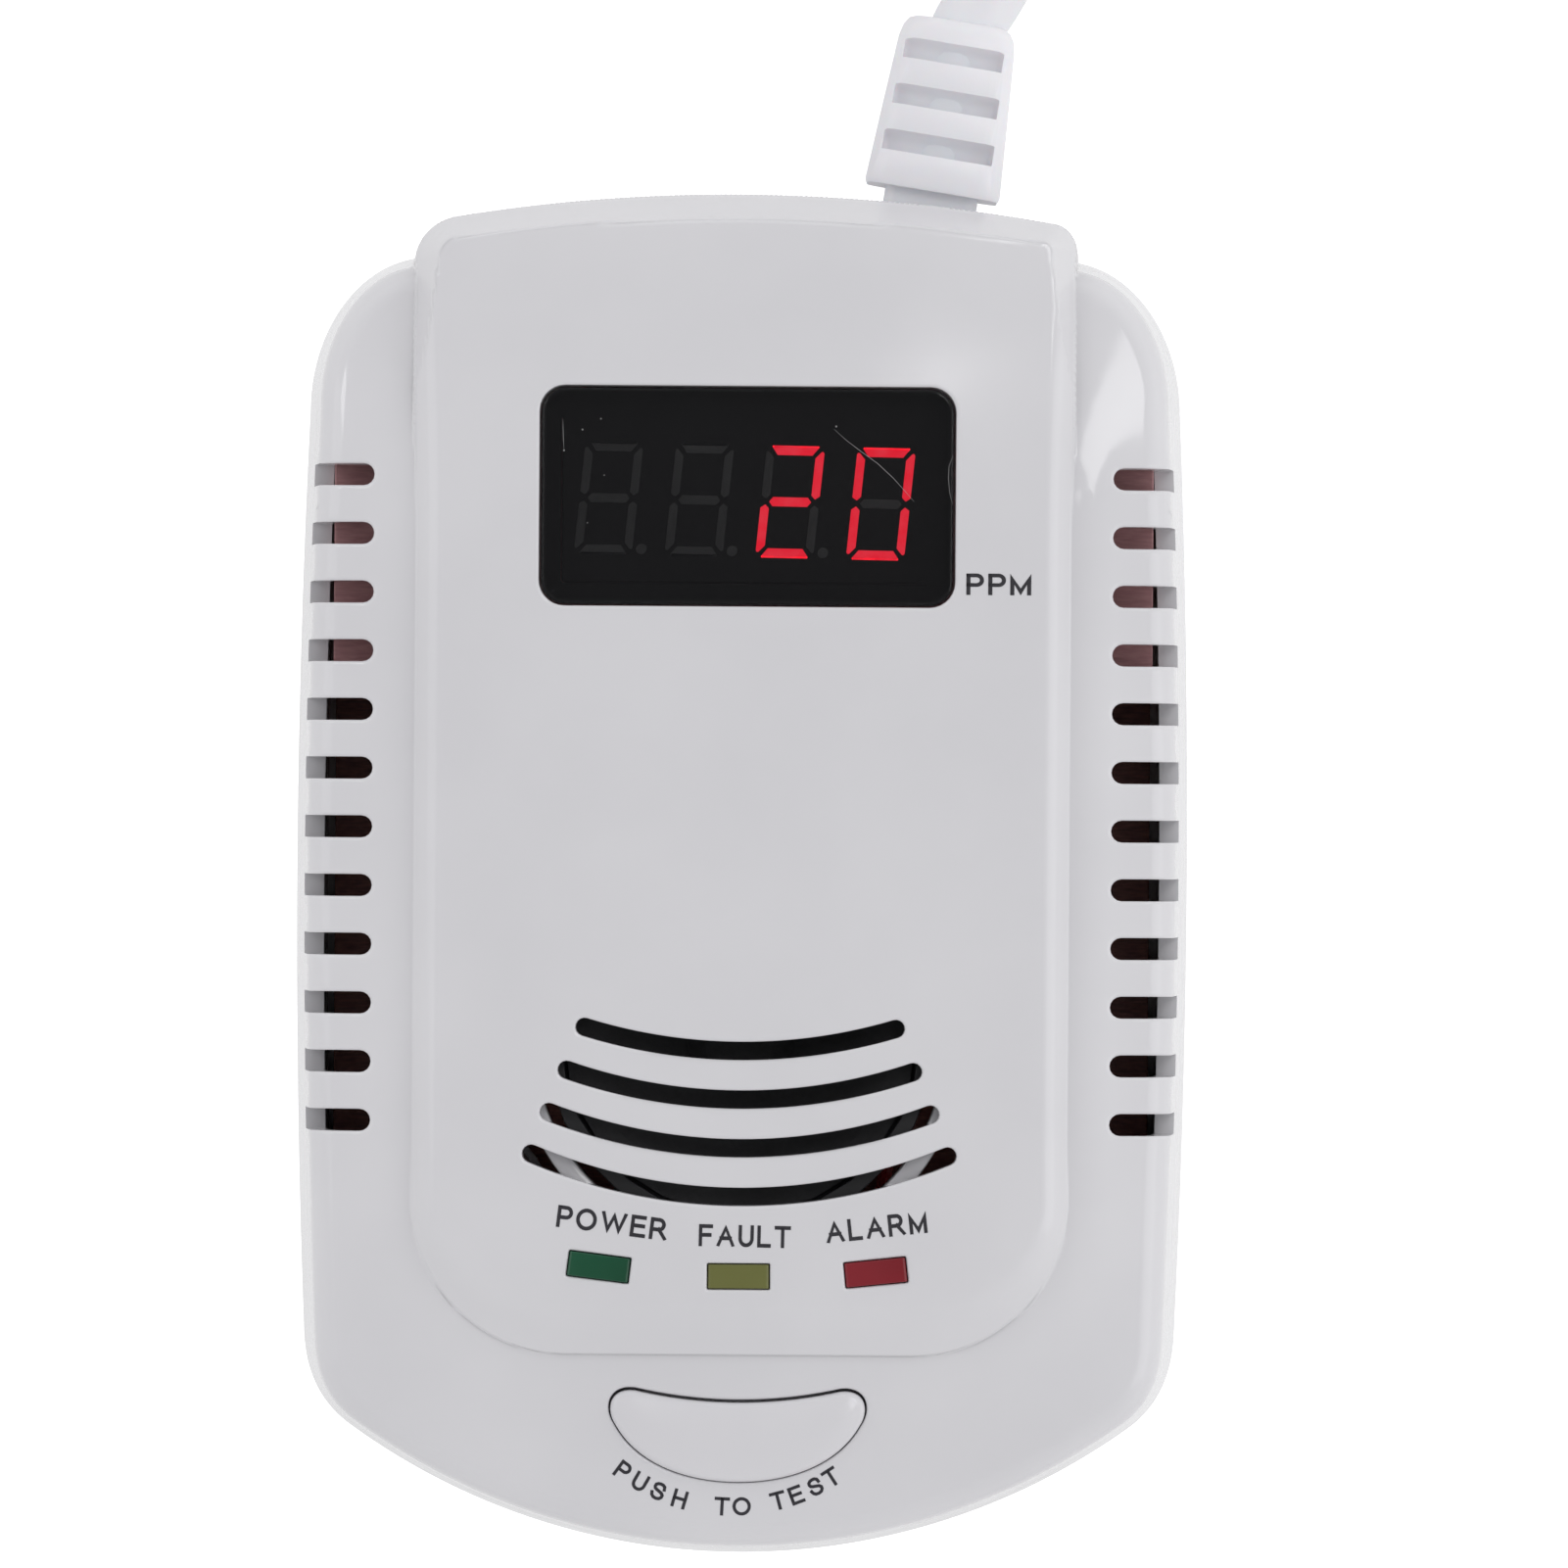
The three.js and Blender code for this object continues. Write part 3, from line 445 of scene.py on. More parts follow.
def tongue_height(x, y, d, foot_gap):
    """A steep wall, a side that slopes up to a soft edge, and a facet that widens as the wings fall."""
    low_end = 1 - eased(y, -39, -26)
    inside = d - SIDE["inset"]
    slope = SIDE["z"] - 0.4 * low_end + (SIDE["slope"] - 0.5 * low_end) * (inside + 0.4 * low_end)
    facet = SIDE["z"] + SIDE["facet"] * inside - SIDE["facet_fall"] * np.maximum(0, y - 40)
    wall = SPLIT + SIDE["wall"] * foot_gap
    rounded = soft_min(slope, tongue_top(x, y), 1.0 + 0.6 * low_end + 1.2 * eased(y, 46, 54))
    return soft_min(np.minimum(rounded, facet), wall, 0.5)


def case_height(x, y, gaps):
    """The front surface, from how far each point is inside the wings, the tongue and its foot."""
    wing_gap, tongue_gap, foot_gap = gaps
    low = wing_height(x, y, wing_gap, tongue_gap)
    blend = 0.25 + 0.85 * (1 - eased(y, -38, -22))
    return -soft_min(-low, -tongue_height(x, y, tongue_gap, foot_gap), blend)


def case_surface(points, step=0.02):
    """Heights and unit normals of the case's front surface."""
    x, y = points.T
    gaps, ways = zip(*(inwards(points, outline) for outline in (WINGS, TONGUES, FEET)))
    slopes = []
    for k, (ex, ey) in enumerate([(step, 0), (0, step)]):
        sides = [
            case_height(x + s * ex, y + s * ey, [g + s * step * w[:, k] for g, w in zip(gaps, ways)])
            for s in (1, -1)
        ]
        slopes.append((sides[1] - sides[0]) / (2 * step))
    normal = np.stack([*slopes, np.ones(len(points))], axis=1)
    return case_height(x, y, gaps), normal / np.linalg.norm(normal, axis=1)[:, None]


def offset(outline, distance):
    """A closed outline moved inwards, square to itself."""
    before, after = np.roll(outline, 1, axis=0), np.roll(outline, -1, axis=0)
    along = after - before
    normal = np.stack([-along[:, 1], along[:, 0]], axis=1)
    return outline + normal / np.linalg.norm(normal, axis=1)[:, None] * distance


def grid(low, high, step):
    xs = np.arange(low[0], high[0], step)
    ys = np.arange(low[1], high[1], step)
    return np.stack(np.meshgrid(xs, ys), axis=2).reshape(-1, 2)


def close_to(points, loop, margin=1):
    """Which points are in the box round a loop, widened by margin."""
    return (np.abs(points - loop.mean(0)) < np.ptp(loop, axis=0) / 2 + margin).all(1)


def triangulated(outline, holes, loose):
    """Triangles over the loose points and the outlines' own, inside outline and outside holes.

    The outlines' points come first, in order.
    """
    loops = [outline, *holes]
    points = np.concatenate([*loops, loose])
    edges, start = [], 0
    for loop in loops:
        n = len(loop)
        edges += [(start + i, start + (i + 1) % n) for i in range(n)]
        start += n
    result = geometry.delaunay_2d_cdt([Vector(p) for p in points], edges, [], 0, 1e-5)
    origin = np.array([ids[0] if ids else -1 for ids in result[3]])
    faces = origin[np.array(result[2])]
    faces = faces[(faces >= 0).all(1)]
    middle = points[faces].mean(1)
    keep = inside_distance(middle, outline) > 0
    for hole in holes:
        near = close_to(middle, hole) & keep
        keep[np.flatnonzero(near)] &= inside_distance(middle[near], hole) < 0
    faces = faces[keep]
    a, b, c = (points[faces[:, k]] for k in range(3))
    turn = (b[:, 0] - a[:, 0]) * (c[:, 1] - a[:, 1]) - (b[:, 1] - a[:, 1]) * (c[:, 0] - a[:, 0])
    faces[turn < 0] = faces[turn < 0][:, ::-1]
    return points, faces[np.abs(turn) > 1e-7]


def thinned(loose, loops, gap):
    """The loose points that keep gap from every loop."""
    keep = np.ones(len(loose), bool)
    for loop in loops:
        near = np.flatnonzero(close_to(loose, loop, 2) & keep)
        if len(near):
            keep[near] = np.abs(inside_distance(loose[near], loop)) > gap
    return loose[keep]


def make_mesh(name, points, faces, loop_normals=None, smooth=True):
    """A mesh object from points in millimetres."""
    mesh = bpy.data.meshes.new(name)
    mesh.from_pydata((np.asarray(points, float) * MM).tolist(), [], [tuple(map(int, f)) for f in faces])
    mesh.polygons.foreach_set("use_smooth", [smooth] * len(mesh.polygons))
    mesh.update()
    if loop_normals is not None:
        mesh.normals_split_custom_set(loop_normals)
    piece = bpy.data.objects.new(name, mesh)
    bpy.context.collection.objects.link(piece)
    return piece


def face_normals(points, faces):
    """The unit normal of each face, from its first three corners."""
    a, b, c = (points[[f[k] for f in faces]] for k in range(3))
    square = np.cross(b - a, c - a)
    return square / np.maximum(np.linalg.norm(square, axis=1), 1e-12)[:, None]


def relief(name, outline, holes, loose, surface, edge, inner):
    """A solid under a surface of heights and normals, with rounded hole edges.

    inner gives the lower skin's points from the upper skin's unrounded points and normals.
    """
    points, faces = triangulated(outline, holes, loose)
    level, normal = surface(points)
    base = np.column_stack([points, level])
    gap = np.full(len(points), 10.0)
    for hole in holes:
        near = np.flatnonzero(close_to(points, hole))
        gap[near] = np.minimum(gap[near], np.abs(inside_distance(points[near], hole)))
    lean = np.clip((edge - gap) / edge, 0, 1)
    top = base.copy()
    top[:, 2] -= edge * (1 - np.sqrt(1 - lean**2)) * normal[:, 2] ** 2
    lower = inner(base, normal)
    count = len(points)
    whole = np.concatenate([top, lower])
    skin = [tuple(f) for f in faces]
    under = [(a + count, c + count, b + count) for a, b, c in faces]
    sides, start = [], 0
    for k, loop in enumerate([outline, *holes]):
        n = len(loop)
        for i in range(n):
            a, b = start + i, start + (i + 1) % n
            sides.append((b, a, a + count, b + count) if k == 0 else (a, b, b + count, a + count))
        start += n
    away = lean_normals(points, holes, normal, lean)
    loops = [away[v] for f in skin for v in f]
    for f, n in zip(under + sides, face_normals(whole, under + sides)):
        loops += [n] * len(f)
    return make_mesh(name, whole, skin + under + sides, loops)


def lean_normals(points, holes, normal, lean):
    """The skin's normals, turned towards a hole where its edge is rounded."""
    found = normal.copy()
    for hole in holes:
        near = np.flatnonzero((lean > 0) & close_to(points, hole))
        if not len(near):
            continue
        here, way = inwards(points[near], hole)
        share = np.minimum(lean[near] * normal[near, 2] ** 2 * (np.abs(here) < 0.3), 0.95)[:, None]
        toward = np.column_stack([way, np.zeros(len(near))])
        turned = normal[near] * np.sqrt(1 - share**2) + toward * share
        found[near] = turned / np.linalg.norm(turned, axis=1)[:, None]
    return found


WINGS = evenly(wing_outline(), 0.5)
TONGUES = evenly(tongue_outline(TONGUE["half"], TONGUE["right"], TONGUE["left"]), 0.8)
FEET = evenly(tongue_outline(FOOT["half"], FOOT["right"], FOOT["left"]), 0.8)


def side_line():
    """The right wall's y and x, which the vents' outer ends follow."""
    right = WINGS[(WINGS[:, 0] > 33) & (np.abs(WINGS[:, 1]) < 40)]
    right = right[right[:, 1].argsort()]
    return right[:, 1], right[:, 0]


SIDE_LINE = side_line()


def case_outline():
    """The silhouette: the wings' and the foot's outlines together, in order round the middle."""
    wings = WINGS[inside_distance(WINGS, FEET) < -0.01]
    tongue = FEET[inside_distance(FEET, WINGS) < -0.01]
    both = np.concatenate([wings, tongue])
    return both[np.arctan2(both[:, 1], both[:, 0]).argsort()]


def case_holes():
    """The window, the lamps, the button, the speaker's slots and the vents."""
    holes = [evenly(window_outline(0, WINDOW["radius"]), 0.8)]
    for x, y, turn in LED_PLACES.values():
        lamp = rounded_rectangle(x, y, LED["width"], LED["height"], LED["radius"], turn, 3)
        holes.append(evenly(lamp, 0.4))
    holes.append(evenly(button_outline(BUTTON["gap"]), 0.5))
    holes += [evenly(slot_outline(i), 0.6) for i in range(SLOT["count"])]
    holes += [evenly(vent_outline(side, i), 0.3) for side in (-1, 1) for i in range(VENT["count"])]
    return holes


def rings_inside(outline, depths):
    return np.concatenate([offset(outline, d) for d in depths])


def edge_points():
    """Points along the edges of the wings, the foot and the tongue, closer where the surface bends."""
    wing = rings_inside(WINGS, (0.2, 0.5, 0.8, 1.1, 1.4, 1.55, 1.68, 1.85, 2.05, 2.3, 2.6, 2.95, 3.3,
                                3.7, 4.3, 5.2))
    wing = wing[inside_distance(wing, TONGUES) < -0.15]
    foot = rings_inside(FEET, (0.1, 0.2, 0.3, 0.4, 0.5))
    foot = foot[foot[:, 1] > 36]
    tongue = rings_inside(TONGUES, (0.0, 0.2, 0.4, 0.56, 0.7, 0.85, 1.0, 1.2, 1.45, 1.7, 1.95, 2.2, 2.5,
                                    2.8, 3.2, 3.7, 4.3, 5.0))
    tongue = tongue[inside_distance(tongue, FEET) > 0.12]
    return [wing, foot, tongue]


def flat_points():
    """A grid over the flatter parts of the wings and the tongue."""
    found = grid((-36, -56), (36, 56), 2.2)
    on_wing = inside_distance(found, WINGS)
    on_tongue = inside_distance(found, TONGUES)
    return found[((on_wing > 5.6) & (on_tongue < -0.4)) | (on_tongue > 5.6)]


def hole_points(outline, holes):
    """Points round each hole, outside all of them, for the rounded edges."""
    found = np.concatenate([offset(hole, -t) for hole in holes for t in (0.08, 0.18, 0.32, 0.6)])
    clear = np.ones(len(found), bool)
    for hole in holes:
        clear &= inside_distance(found, hole) < -0.05
    return found[clear & (inside_distance(found, outline) > 0.3)]


def front_case():
    outline, holes = case_outline(), case_holes()
    loose = thinned(np.concatenate([*edge_points(), flat_points()]), holes, 0.95)
    loose = np.concatenate([loose, hole_points(outline, holes)])
    loose = loose[inside_distance(loose, outline) > 0.04]

    def inner(base, normal):
        found = base - normal * WALL
        found[:, 2] = np.maximum(found[:, 2], SPLIT)
        rim = np.arange(len(base)) < len(outline)
        found[rim, 2] = SPLIT
        return found

    return relief("front_case_shell", outline, holes, loose, case_surface, HOLE_EDGE, inner)


# ---------------------------------------------------------------- pieces from rings of points


def lofted(name, rings, slot, body="case", ends=True, material=None):
    """A piece skinned through closed rings of as many points each.

    It has flat ends, or else its last ring is joined to its first. Its slot gives its material, unless
    another is given.
    """
    count, size = len(rings), len(rings[0])
    points = np.concatenate([np.asarray(r, float) for r in rings])
    faces = []
    for k in range(count - 1 if ends else count):
        low, high = k * size, (k + 1) % count * size
        faces += [(low + i, low + (i + 1) % size, high + (i + 1) % size, high + i) for i in range(size)]
    if ends:
        faces += [tuple(range(size))[::-1], tuple((count - 1) * size + i for i in range(size))]
    piece = make_mesh(name, points, faces)
    mesh = bmesh.new()
    mesh.from_mesh(piece.data)
    bmesh.ops.recalc_face_normals(mesh, faces=mesh.faces)
    mesh.to_mesh(piece.data)
    mesh.free()
    piece.data.set_sharp_from_angle(angle=math.radians(38))
    piece.data.materials.append(material or MATERIALS[slot])
    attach(piece, body)
    return piece


def round_angles(count):
    return np.linspace(0, 2 * math.pi, count, endpoint=False)


def level_ring(outline, z):
    return np.column_stack([np.asarray(outline, float), np.full(len(outline), z)])


def edge_rings(outline, high, edge, steps):
    """Rings up a rounded edge, which ends at high."""
    rings = []
    for k in range(steps + 1):
        turn = math.pi / 2 * k / steps
        inset, fall = edge * (1 - math.cos(turn)), edge * (1 - math.sin(turn))
        rings.append(level_ring(offset(outline, inset), high - fall))
    return rings


def plate_rings(outline, low, high, edge, steps=3):
    """Rings of a flat plate whose upper edge is rounded; the last one keeps the rounding off the flat."""
    last = level_ring(offset(outline, edge + 0.12), high)
    return [level_ring(outline, low), *edge_rings(outline, high, edge, steps), last]


def joined(pieces, name):
    """One piece from several that share a material and a body."""
    with bpy.context.temp_override(active_object=pieces[0], selected_editable_objects=pieces):
        bpy.ops.object.join()
    pieces[0].name = name
    return pieces[0]


def add_bevel(piece, width, segments, harden):
    bevel = piece.modifiers.new("bevel", "BEVEL")
    bevel.width = width * MM
    bevel.segments = segments
    bevel.limit_method = "ANGLE"
    bevel.angle_limit = math.radians(40)
    bevel.harden_normals = harden


def dress(node, slot, edge):
    """Gives a CAD node its slot's material and softened edges."""
    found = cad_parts[node]
    found.data.materials.clear()
    found.data.materials.append(MATERIALS[slot])
    weld = found.modifiers.new("weld", "WELD")
    weld.merge_threshold = 1e-6
    if edge:
        add_bevel(found, edge, 2, harden=True)


def cut(piece, cutter):
    """Takes cutter out of piece, and removes it."""
    change = piece.modifiers.new("cut", "BOOLEAN")
    change.operation = "DIFFERENCE"
    change.solver = "EXACT"
    change.object = cutter
    made = bpy.data.meshes.new_from_object(piece.evaluated_get(bpy.context.evaluated_depsgraph_get()))
    piece.modifiers.remove(change)
    piece.data = made
    bpy.data.objects.remove(cutter)


# ---------------------------------------------------------------- mains lead

LEAD_START = [(16.75, 65.2, 13), (17.35, 68.2, 13), (18.4, 71, 13)]
LEAD = [
    (19.4, 72.4, 12.95), (20.6, 74.4, 12.9), (22.6, 77.8, 12.7), (24.6, 81.3, 12), (26.6, 84.8, 10.9),
    (28.4, 88.3, 9.5), (30.2, 91.9, 7.9), (32, 95.5, 6.4), (33.6, 99.2, 5.2), (35.2, 102.8, 4.4),
    (36.7, 106.6, 4.1),
]
TAIL = [
    (41.4, 131.5, 9.7), (42, 138.5, 8.9), (42.8, 145.6, 7.6), (43.2, 150.5, 6), (43.7, 155, 4.8),
    (44.1, 160, 3.8), (44.2, 165, 3.3), (43, 172.7, 3.1), (39.4, 179.7, 3.3), (33.9, 185.2, 4),
    (26.9, 188.8, 5.2), (21, 190, 6.7), (17.1, 190, 7.15),
]
COIL = {"x": 1.7, "y": 124.6, "start": -20, "turn_points": 16}
OUTER, MIDDLE, INNER = 39.1, 33.0, 26.9  # radii of the coil's turns
LOW, HIGH = 4.0, 10.1  # heights of its two layers
# each stretch of the coil: degrees turned, radius and height at its end
COIL_STRETCHES = [
    (270, OUTER, LOW), (90, MIDDLE, LOW), (270, MIDDLE, LOW), (90, INNER, LOW), (225, INNER, LOW),
    (90, INNER, HIGH), (225, INNER, HIGH), (90, MIDDLE, HIGH), (270, MIDDLE, HIGH), (90, OUTER, HIGH),
    (90, OUTER, HIGH),
]


def coil_points():
    radius, height, turned, found = OUTER, LOW, COIL["start"], []
    for degrees, to_radius, to_height in COIL_STRETCHES:
        count = max(3, round(degrees / 360 * COIL["turn_points"]))
        for k in range(count):
            share = (1 - math.cos(math.pi * k / count)) / 2
            r = radius + (to_radius - radius) * share
            z = height + (to_height - height) * share
            angle = math.radians(turned + degrees * k / count)
            found.append((COIL["x"] + r * math.cos(angle), COIL["y"] + r * math.sin(angle), z))
        radius, height, turned = to_radius, to_height, turned + degrees
    return found


def smooth_curve(name, route, radius):
    """A round cord along a route: one open Bezier spline with handles along the route."""
    data = bpy.data.curves.new(name, "CURVE")
    data.dimensions = "3D"
    data.bevel_depth = radius * MM
    data.bevel_resolution = 7
    data.resolution_u = 6
    data.use_fill_caps = True
    spline = data.splines.new("BEZIER")
    spline.bezier_points.add(len(route) - 1)
    points = [Vector(p) * MM for p in route]
    for k, p in enumerate(points):
        before, after = points[max(k - 1, 0)], points[min(k + 1, len(points) - 1)]
        along = (after - before).normalized()
        bend = spline.bezier_points[k]
        bend.co = p
        bend.handle_left = p - along * (p - before).length / 3
        bend.handle_right = p + along * (after - p).length / 3
    piece = bpy.data.objects.new(name, data)
    bpy.context.collection.objects.link(piece)
    return piece


lead = smooth_curve("mains_lead", [*LEAD_START, *LEAD, *coil_points(), *TAIL], LEAD_RADIUS)
lead.data.materials.append(MATERIALS["white_vinyl"])
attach(lead, "case")
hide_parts("power_cord", "cord_coil", "cord_tail")


def leaned(points):
    """Points of the strain relief's own frame, y along it, put in place."""
    p = np.asarray(points, float)
    return np.column_stack([placed(p[:, :2], BOOT["x"], BOOT["y"], -BOOT["lean"]), BOOT["z"] + p[:, 2]])


def boot_ring(width, height, radius, y):
    """A rounded rectangle across the strain relief, y along it."""
    ring = rounded_rectangle(0, 0, width, height, radius, count=6)
    return leaned([(px, y, pz) for px, pz in ring])


def groove(y, side):
    """A cutter for one side of a slot across the strain relief, deepest towards the case."""
    scoop = [(-0.75, 2.8), (-0.2, 2.85), (0.2, 3.0), (0.5, 3.3), (0.75, 3.75), (0.95, 4.4), (1.05, 5.4)]
    rings = []
    for dy, deep in scoop:
        ring = rounded_rectangle(-0.1, (deep + 8) / 2, 9.8 - 0.12 * y, 8 - deep, 0.5)
        rings.append(leaned([(px, y + dy, side * pz) for px, pz in ring]))
    return lofted("cutter", rings, "white_vinyl")


def strain_relief():
    """A tapered ladder of four blocks with a round core showing in the slots between them."""
    long = BOOT["length"]
    # each section: width, height, corner radius and place along the relief
    sections = [
        (10.9, 9.6, 1.7, 1.15), (11.3, 10, 1.9, 1.55), (10.5, 9.4, 1.9, 8),
        (9.75, 8.9, 1.9, long - 1.9), (9.3, 8.6, 2.0, long - 0.9), (8.5, 8.0, 2.1, long - 0.25),
        (7.4, 7.2, 2.1, long),
    ]
    body = lofted("strain_relief_boot", [boot_ring(*s) for s in sections], "white_vinyl")
    for y in BOOT["slots"]:
        for side in (-1, 1):
            cut(body, groove(y, side))
    add_bevel(body, 0.3, 3, harden=False)
    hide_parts("strain_relief")
    r = 3.15
    core = lofted("strain_relief_core", [
        leaned([(r * math.cos(a), y, r * math.sin(a)) for a in round_angles(40)]) for y in (3.5, 13.8)
    ], "white_vinyl")
    neck = lofted("strain_relief_neck", [boot_ring(*s) for s in (
        (11.4, 9.2, 1.2, -5), (11.4, 9.2, 1.2, -3), (7.8, 6.6, 1.0, -2.95), (7.8, 6.6, 1.0, 1.3),
    )], "white_vinyl")
    return body, core, neck


def strap():
    """The tie's strap: a rounded loop round the coil's turns."""
    thick, turn = TIE["thick"], math.radians(TIE["turn"])
    loop = rounded_rectangle(TIE["r"], TIE["z"], TIE["across"], TIE["tall"], TIE["round"], count=10)
    around = evenly(loop, 1.2)
    after, before = np.roll(around, -1, axis=0), np.roll(around, 1, axis=0)
    rings = []
    for k, (r, z) in enumerate(around):
        out = -(after[k] - before[k])[::-1] * [1, -1]
        out = out / np.linalg.norm(out)
        ring = []
        for along, away in rounded_rectangle(0, thick / 2, TIE["width"], thick, thick * 0.45, count=4):
            rr, zz = r - out[0] * away, z - out[1] * away
            ring.append((
                COIL["x"] + rr * math.cos(turn) - along * math.sin(turn),
                COIL["y"] + rr * math.sin(turn) + along * math.cos(turn), zz,
            ))
        rings.append(ring)
    return lofted("coil_tie_strap", rings, "tie", ends=False)


def plug_body():
    """A flat plug pointing towards -X: a ribbed relief, a waisted grip and a wider front."""
    x, y, z = PLUG["x"], PLUG["y"], PLUG["z"]
    # each section: place along the plug, width, height and corner radius
    sections = []
    for k in range(29):
        share = k / 28
        grown = share**1.4
        dent = 0.55 if k % 4 in (2, 3) and k <= 24 else 0
        sections.append((-k * 0.7, 7.4 + 4.6 * grown - dent, 7.4 + 3.0 * grown - dent, 3.2 - dent / 2))
    sections += [
        (-21, 13.6, 11.0, 4.2), (-23, 17.5, 11.8, 4.4), (-25, 21, 12.5, 4.2), (-28, 24.4, 13.0, 4.0),
        (-31, 25.6, 12.3, 3.9), (-34, 25.8, 12.0, 3.8), (-37, 27.0, 12.4, 3.8), (-40, 30.5, 13.2, 3.6),
        (-42.5, 33.6, 13.7, 3.4), (-44, 34, 13.7, 3.2), (-50.8, 34, 13.7, 3.2), (-52, 33.6, 13.3, 3.1),
        (-52.7, 32.8, 12.5, 2.9), (-53, 31.6, 11.5, 2.6),
    ]
    body = lofted("mains_plug", [
        [(x + s[0], y + px, z + pz) for px, pz in rounded_rectangle(0, 0, s[1], s[2], s[3], count=8)]
        for s in sections
    ], "white_vinyl")
    body.data.set_sharp_from_angle(angle=math.radians(70))
    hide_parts("plug_body")
    return body


def plug_pin(k, side):
    """A turned pin with a black sleeve along its first half."""
    front, y, z = PLUG["x"] - PLUG["length"], PLUG["y"] + side * PLUG["pin_y"], PLUG["z"]
    stations = [(0.2, 1.95), (-8.8, 1.95), (-9.0, 1.8), (-9.05, 1.95), (-17.4, 1.95), (-18.3, 1.6),
                (-18.75, 1.0)]
    pin = lofted(f"plug_pin_{k + 1}_turned", [
        [(front + sx, y + r * math.cos(a), z + r * math.sin(a)) for a in round_angles(32)]
        for sx, r in stations
    ], "nickel")
    pin.data.materials.append(MATERIALS["black_plastic"])
    for face in pin.data.polygons:
        if face.center.x > (front - PLUG["sleeve"]) * MM:
            face.material_index = 1
    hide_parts(f"plug_pin_{k + 1}")
    return pin


relief_pieces = strain_relief()
tie = strap()
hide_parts("cord_tie")
plug_pieces = [plug_body(), *(plug_pin(k, side) for k, side in enumerate((-1, 1)))]

# ---------------------------------------------------------------- front of the case

front = front_case()
front.data.materials.append(MATERIALS["case_white"])
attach(front, "case")
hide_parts("front_case")


def speaker_rib():
    """The round wall that holds the speaker, with a rounded upper edge."""
    half, edge = SPEAKER["rib_wall"] / 2, SPEAKER["rib_edge"]
    inner, outer = SPEAKER["rib"] - half, SPEAKER["rib"] + half
    low, high = SPEAKER["rib_low"], SPEAKER["rib_high"]
    profile = [(inner, low), (outer, low), (outer, high - edge), (outer - edge * 0.3, high - edge * 0.3),
               (outer - edge, high), (inner + edge, high), (inner + edge * 0.3, high - edge * 0.3),
               (inner, high - edge)]
    rings = []
    for a in round_angles(96):
        rings.append([(r * math.cos(a), SPEAKER["y"] + r * math.sin(a), z) for r, z in profile])
    lofted("speaker_rib", rings, "case_white", ends=False)


speaker_rib()


def window():
    """The pane, a little smaller all round than its hole."""
    outline = evenly(window_outline(0.24, WINDOW["radius"] - 0.1, 12), 1.0)
    piece = lofted("display_window_pane", plate_rings(outline, WINDOW["back"], WINDOW["face"], 0.34),
                   "smoked_window")
    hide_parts("display_window")


window()


MASK = {"width": 29.9, "height": 13.6, "low": 34.72, "high": 34.76}  # its opening, and its faces


def display_mask():
    """The black surround behind the window."""
    outer = evenly(window_outline(0.4, 1.9), 1.0)
    inner = evenly(rounded_rectangle(0, WINDOW["y"] - 0.3, MASK["width"], MASK["height"], 0.3), 1.0)
    points, faces = triangulated(outer, [inner], np.empty((0, 2)))
    count = len(points)
    top = [tuple(f + count) for f in faces]
    under = [tuple(f[::-1]) for f in faces]
    n, m = len(outer), len(inner)
    sides = [(i, (i + 1) % n, (i + 1) % n + count, i + count) for i in range(n)]
    sides += [(n + (i + 1) % m, n + i, n + i + count, n + (i + 1) % m + count) for i in range(m)]
    skins = np.concatenate([level_ring(points, MASK["low"]), level_ring(points, MASK["high"])])
    piece = make_mesh("display_mask", skins, top + under + sides, smooth=False)
    piece.data.materials.append(MATERIALS["display_face"])
    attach(piece, "case")


display_mask()

# ---------------------------------------------------------------- digits

DIGIT = {"half": 2.38, "tall": 4.6, "stroke": 0.7, "pitch": 7.42, "x": 0.07, "y": 30.72, "slant": 0.085,
         "turn": -0.9, "back": 34.6, "face": 34.74}
SHOWN = ["", "", "abged", "abcdef"]  # each digit's lit segments


def segment_shapes():
    """The seven segments and the decimal point of one digit, about its middle."""
    w, h, s = DIGIT["half"], DIGIT["tall"], DIGIT["stroke"]
    across = [(-1.86, h), (1.86, h), (1.93, h - 0.1), (1.42, h - 0.78), (-1.42, h - 0.78),
              (-1.93, h - 0.1)]
    upright = [(w, 4.02), (w - 0.12, 4.16), (w - 0.26, 4.1), (w - s, 3.6), (w - s, 0.56),
               (w - 0.38, 0.24), (w, 0.5)]
    middle = [(-1.72, 0), (-1.42, 0.38), (1.42, 0.38), (1.72, 0), (1.42, -0.38), (-1.42, -0.38)]
    point = arc(3.12, -h + 0.5, 0.44, 0, 345, 24)
    return {
        "a": across, "d": [(x, -y) for x, y in across], "b": upright, "c": [(x, -y) for x, y in upright],
        "f": [(-x, y) for x, y in upright], "e": [(-x, -y) for x, y in upright], "g": middle, "p": point,
    }


def digits():
    lit, unlit = [], []
    last = len(SHOWN) - 1
    for k, shown in enumerate(SHOWN):
        for name, shape in segment_shapes().items():
            if name == "p" and k == last:
                continue
            flat = evenly(shape, 1.2)
            flat[:, 0] += flat[:, 1] * DIGIT["slant"] + (k - last / 2) * DIGIT["pitch"]
            flat = placed(flat, DIGIT["x"], DIGIT["y"], DIGIT["turn"])
            on = name in shown
            piece = lofted("segment", plate_rings(flat, DIGIT["back"], DIGIT["face"], 0.03, 2),
                           "display_face", material=GLOWING if on else UNLIT)
            (lit if on else unlit).append(piece)
    joined(lit, "digits_lit")
    joined(unlit, "digits_unlit")


digits()

# ---------------------------------------------------------------- lamps and button

for name, slot in (("led_power", "green_led"), ("led_fault", "amber_led"), ("led_alarm", "red_led")):
    dress(name, slot, 0.2)


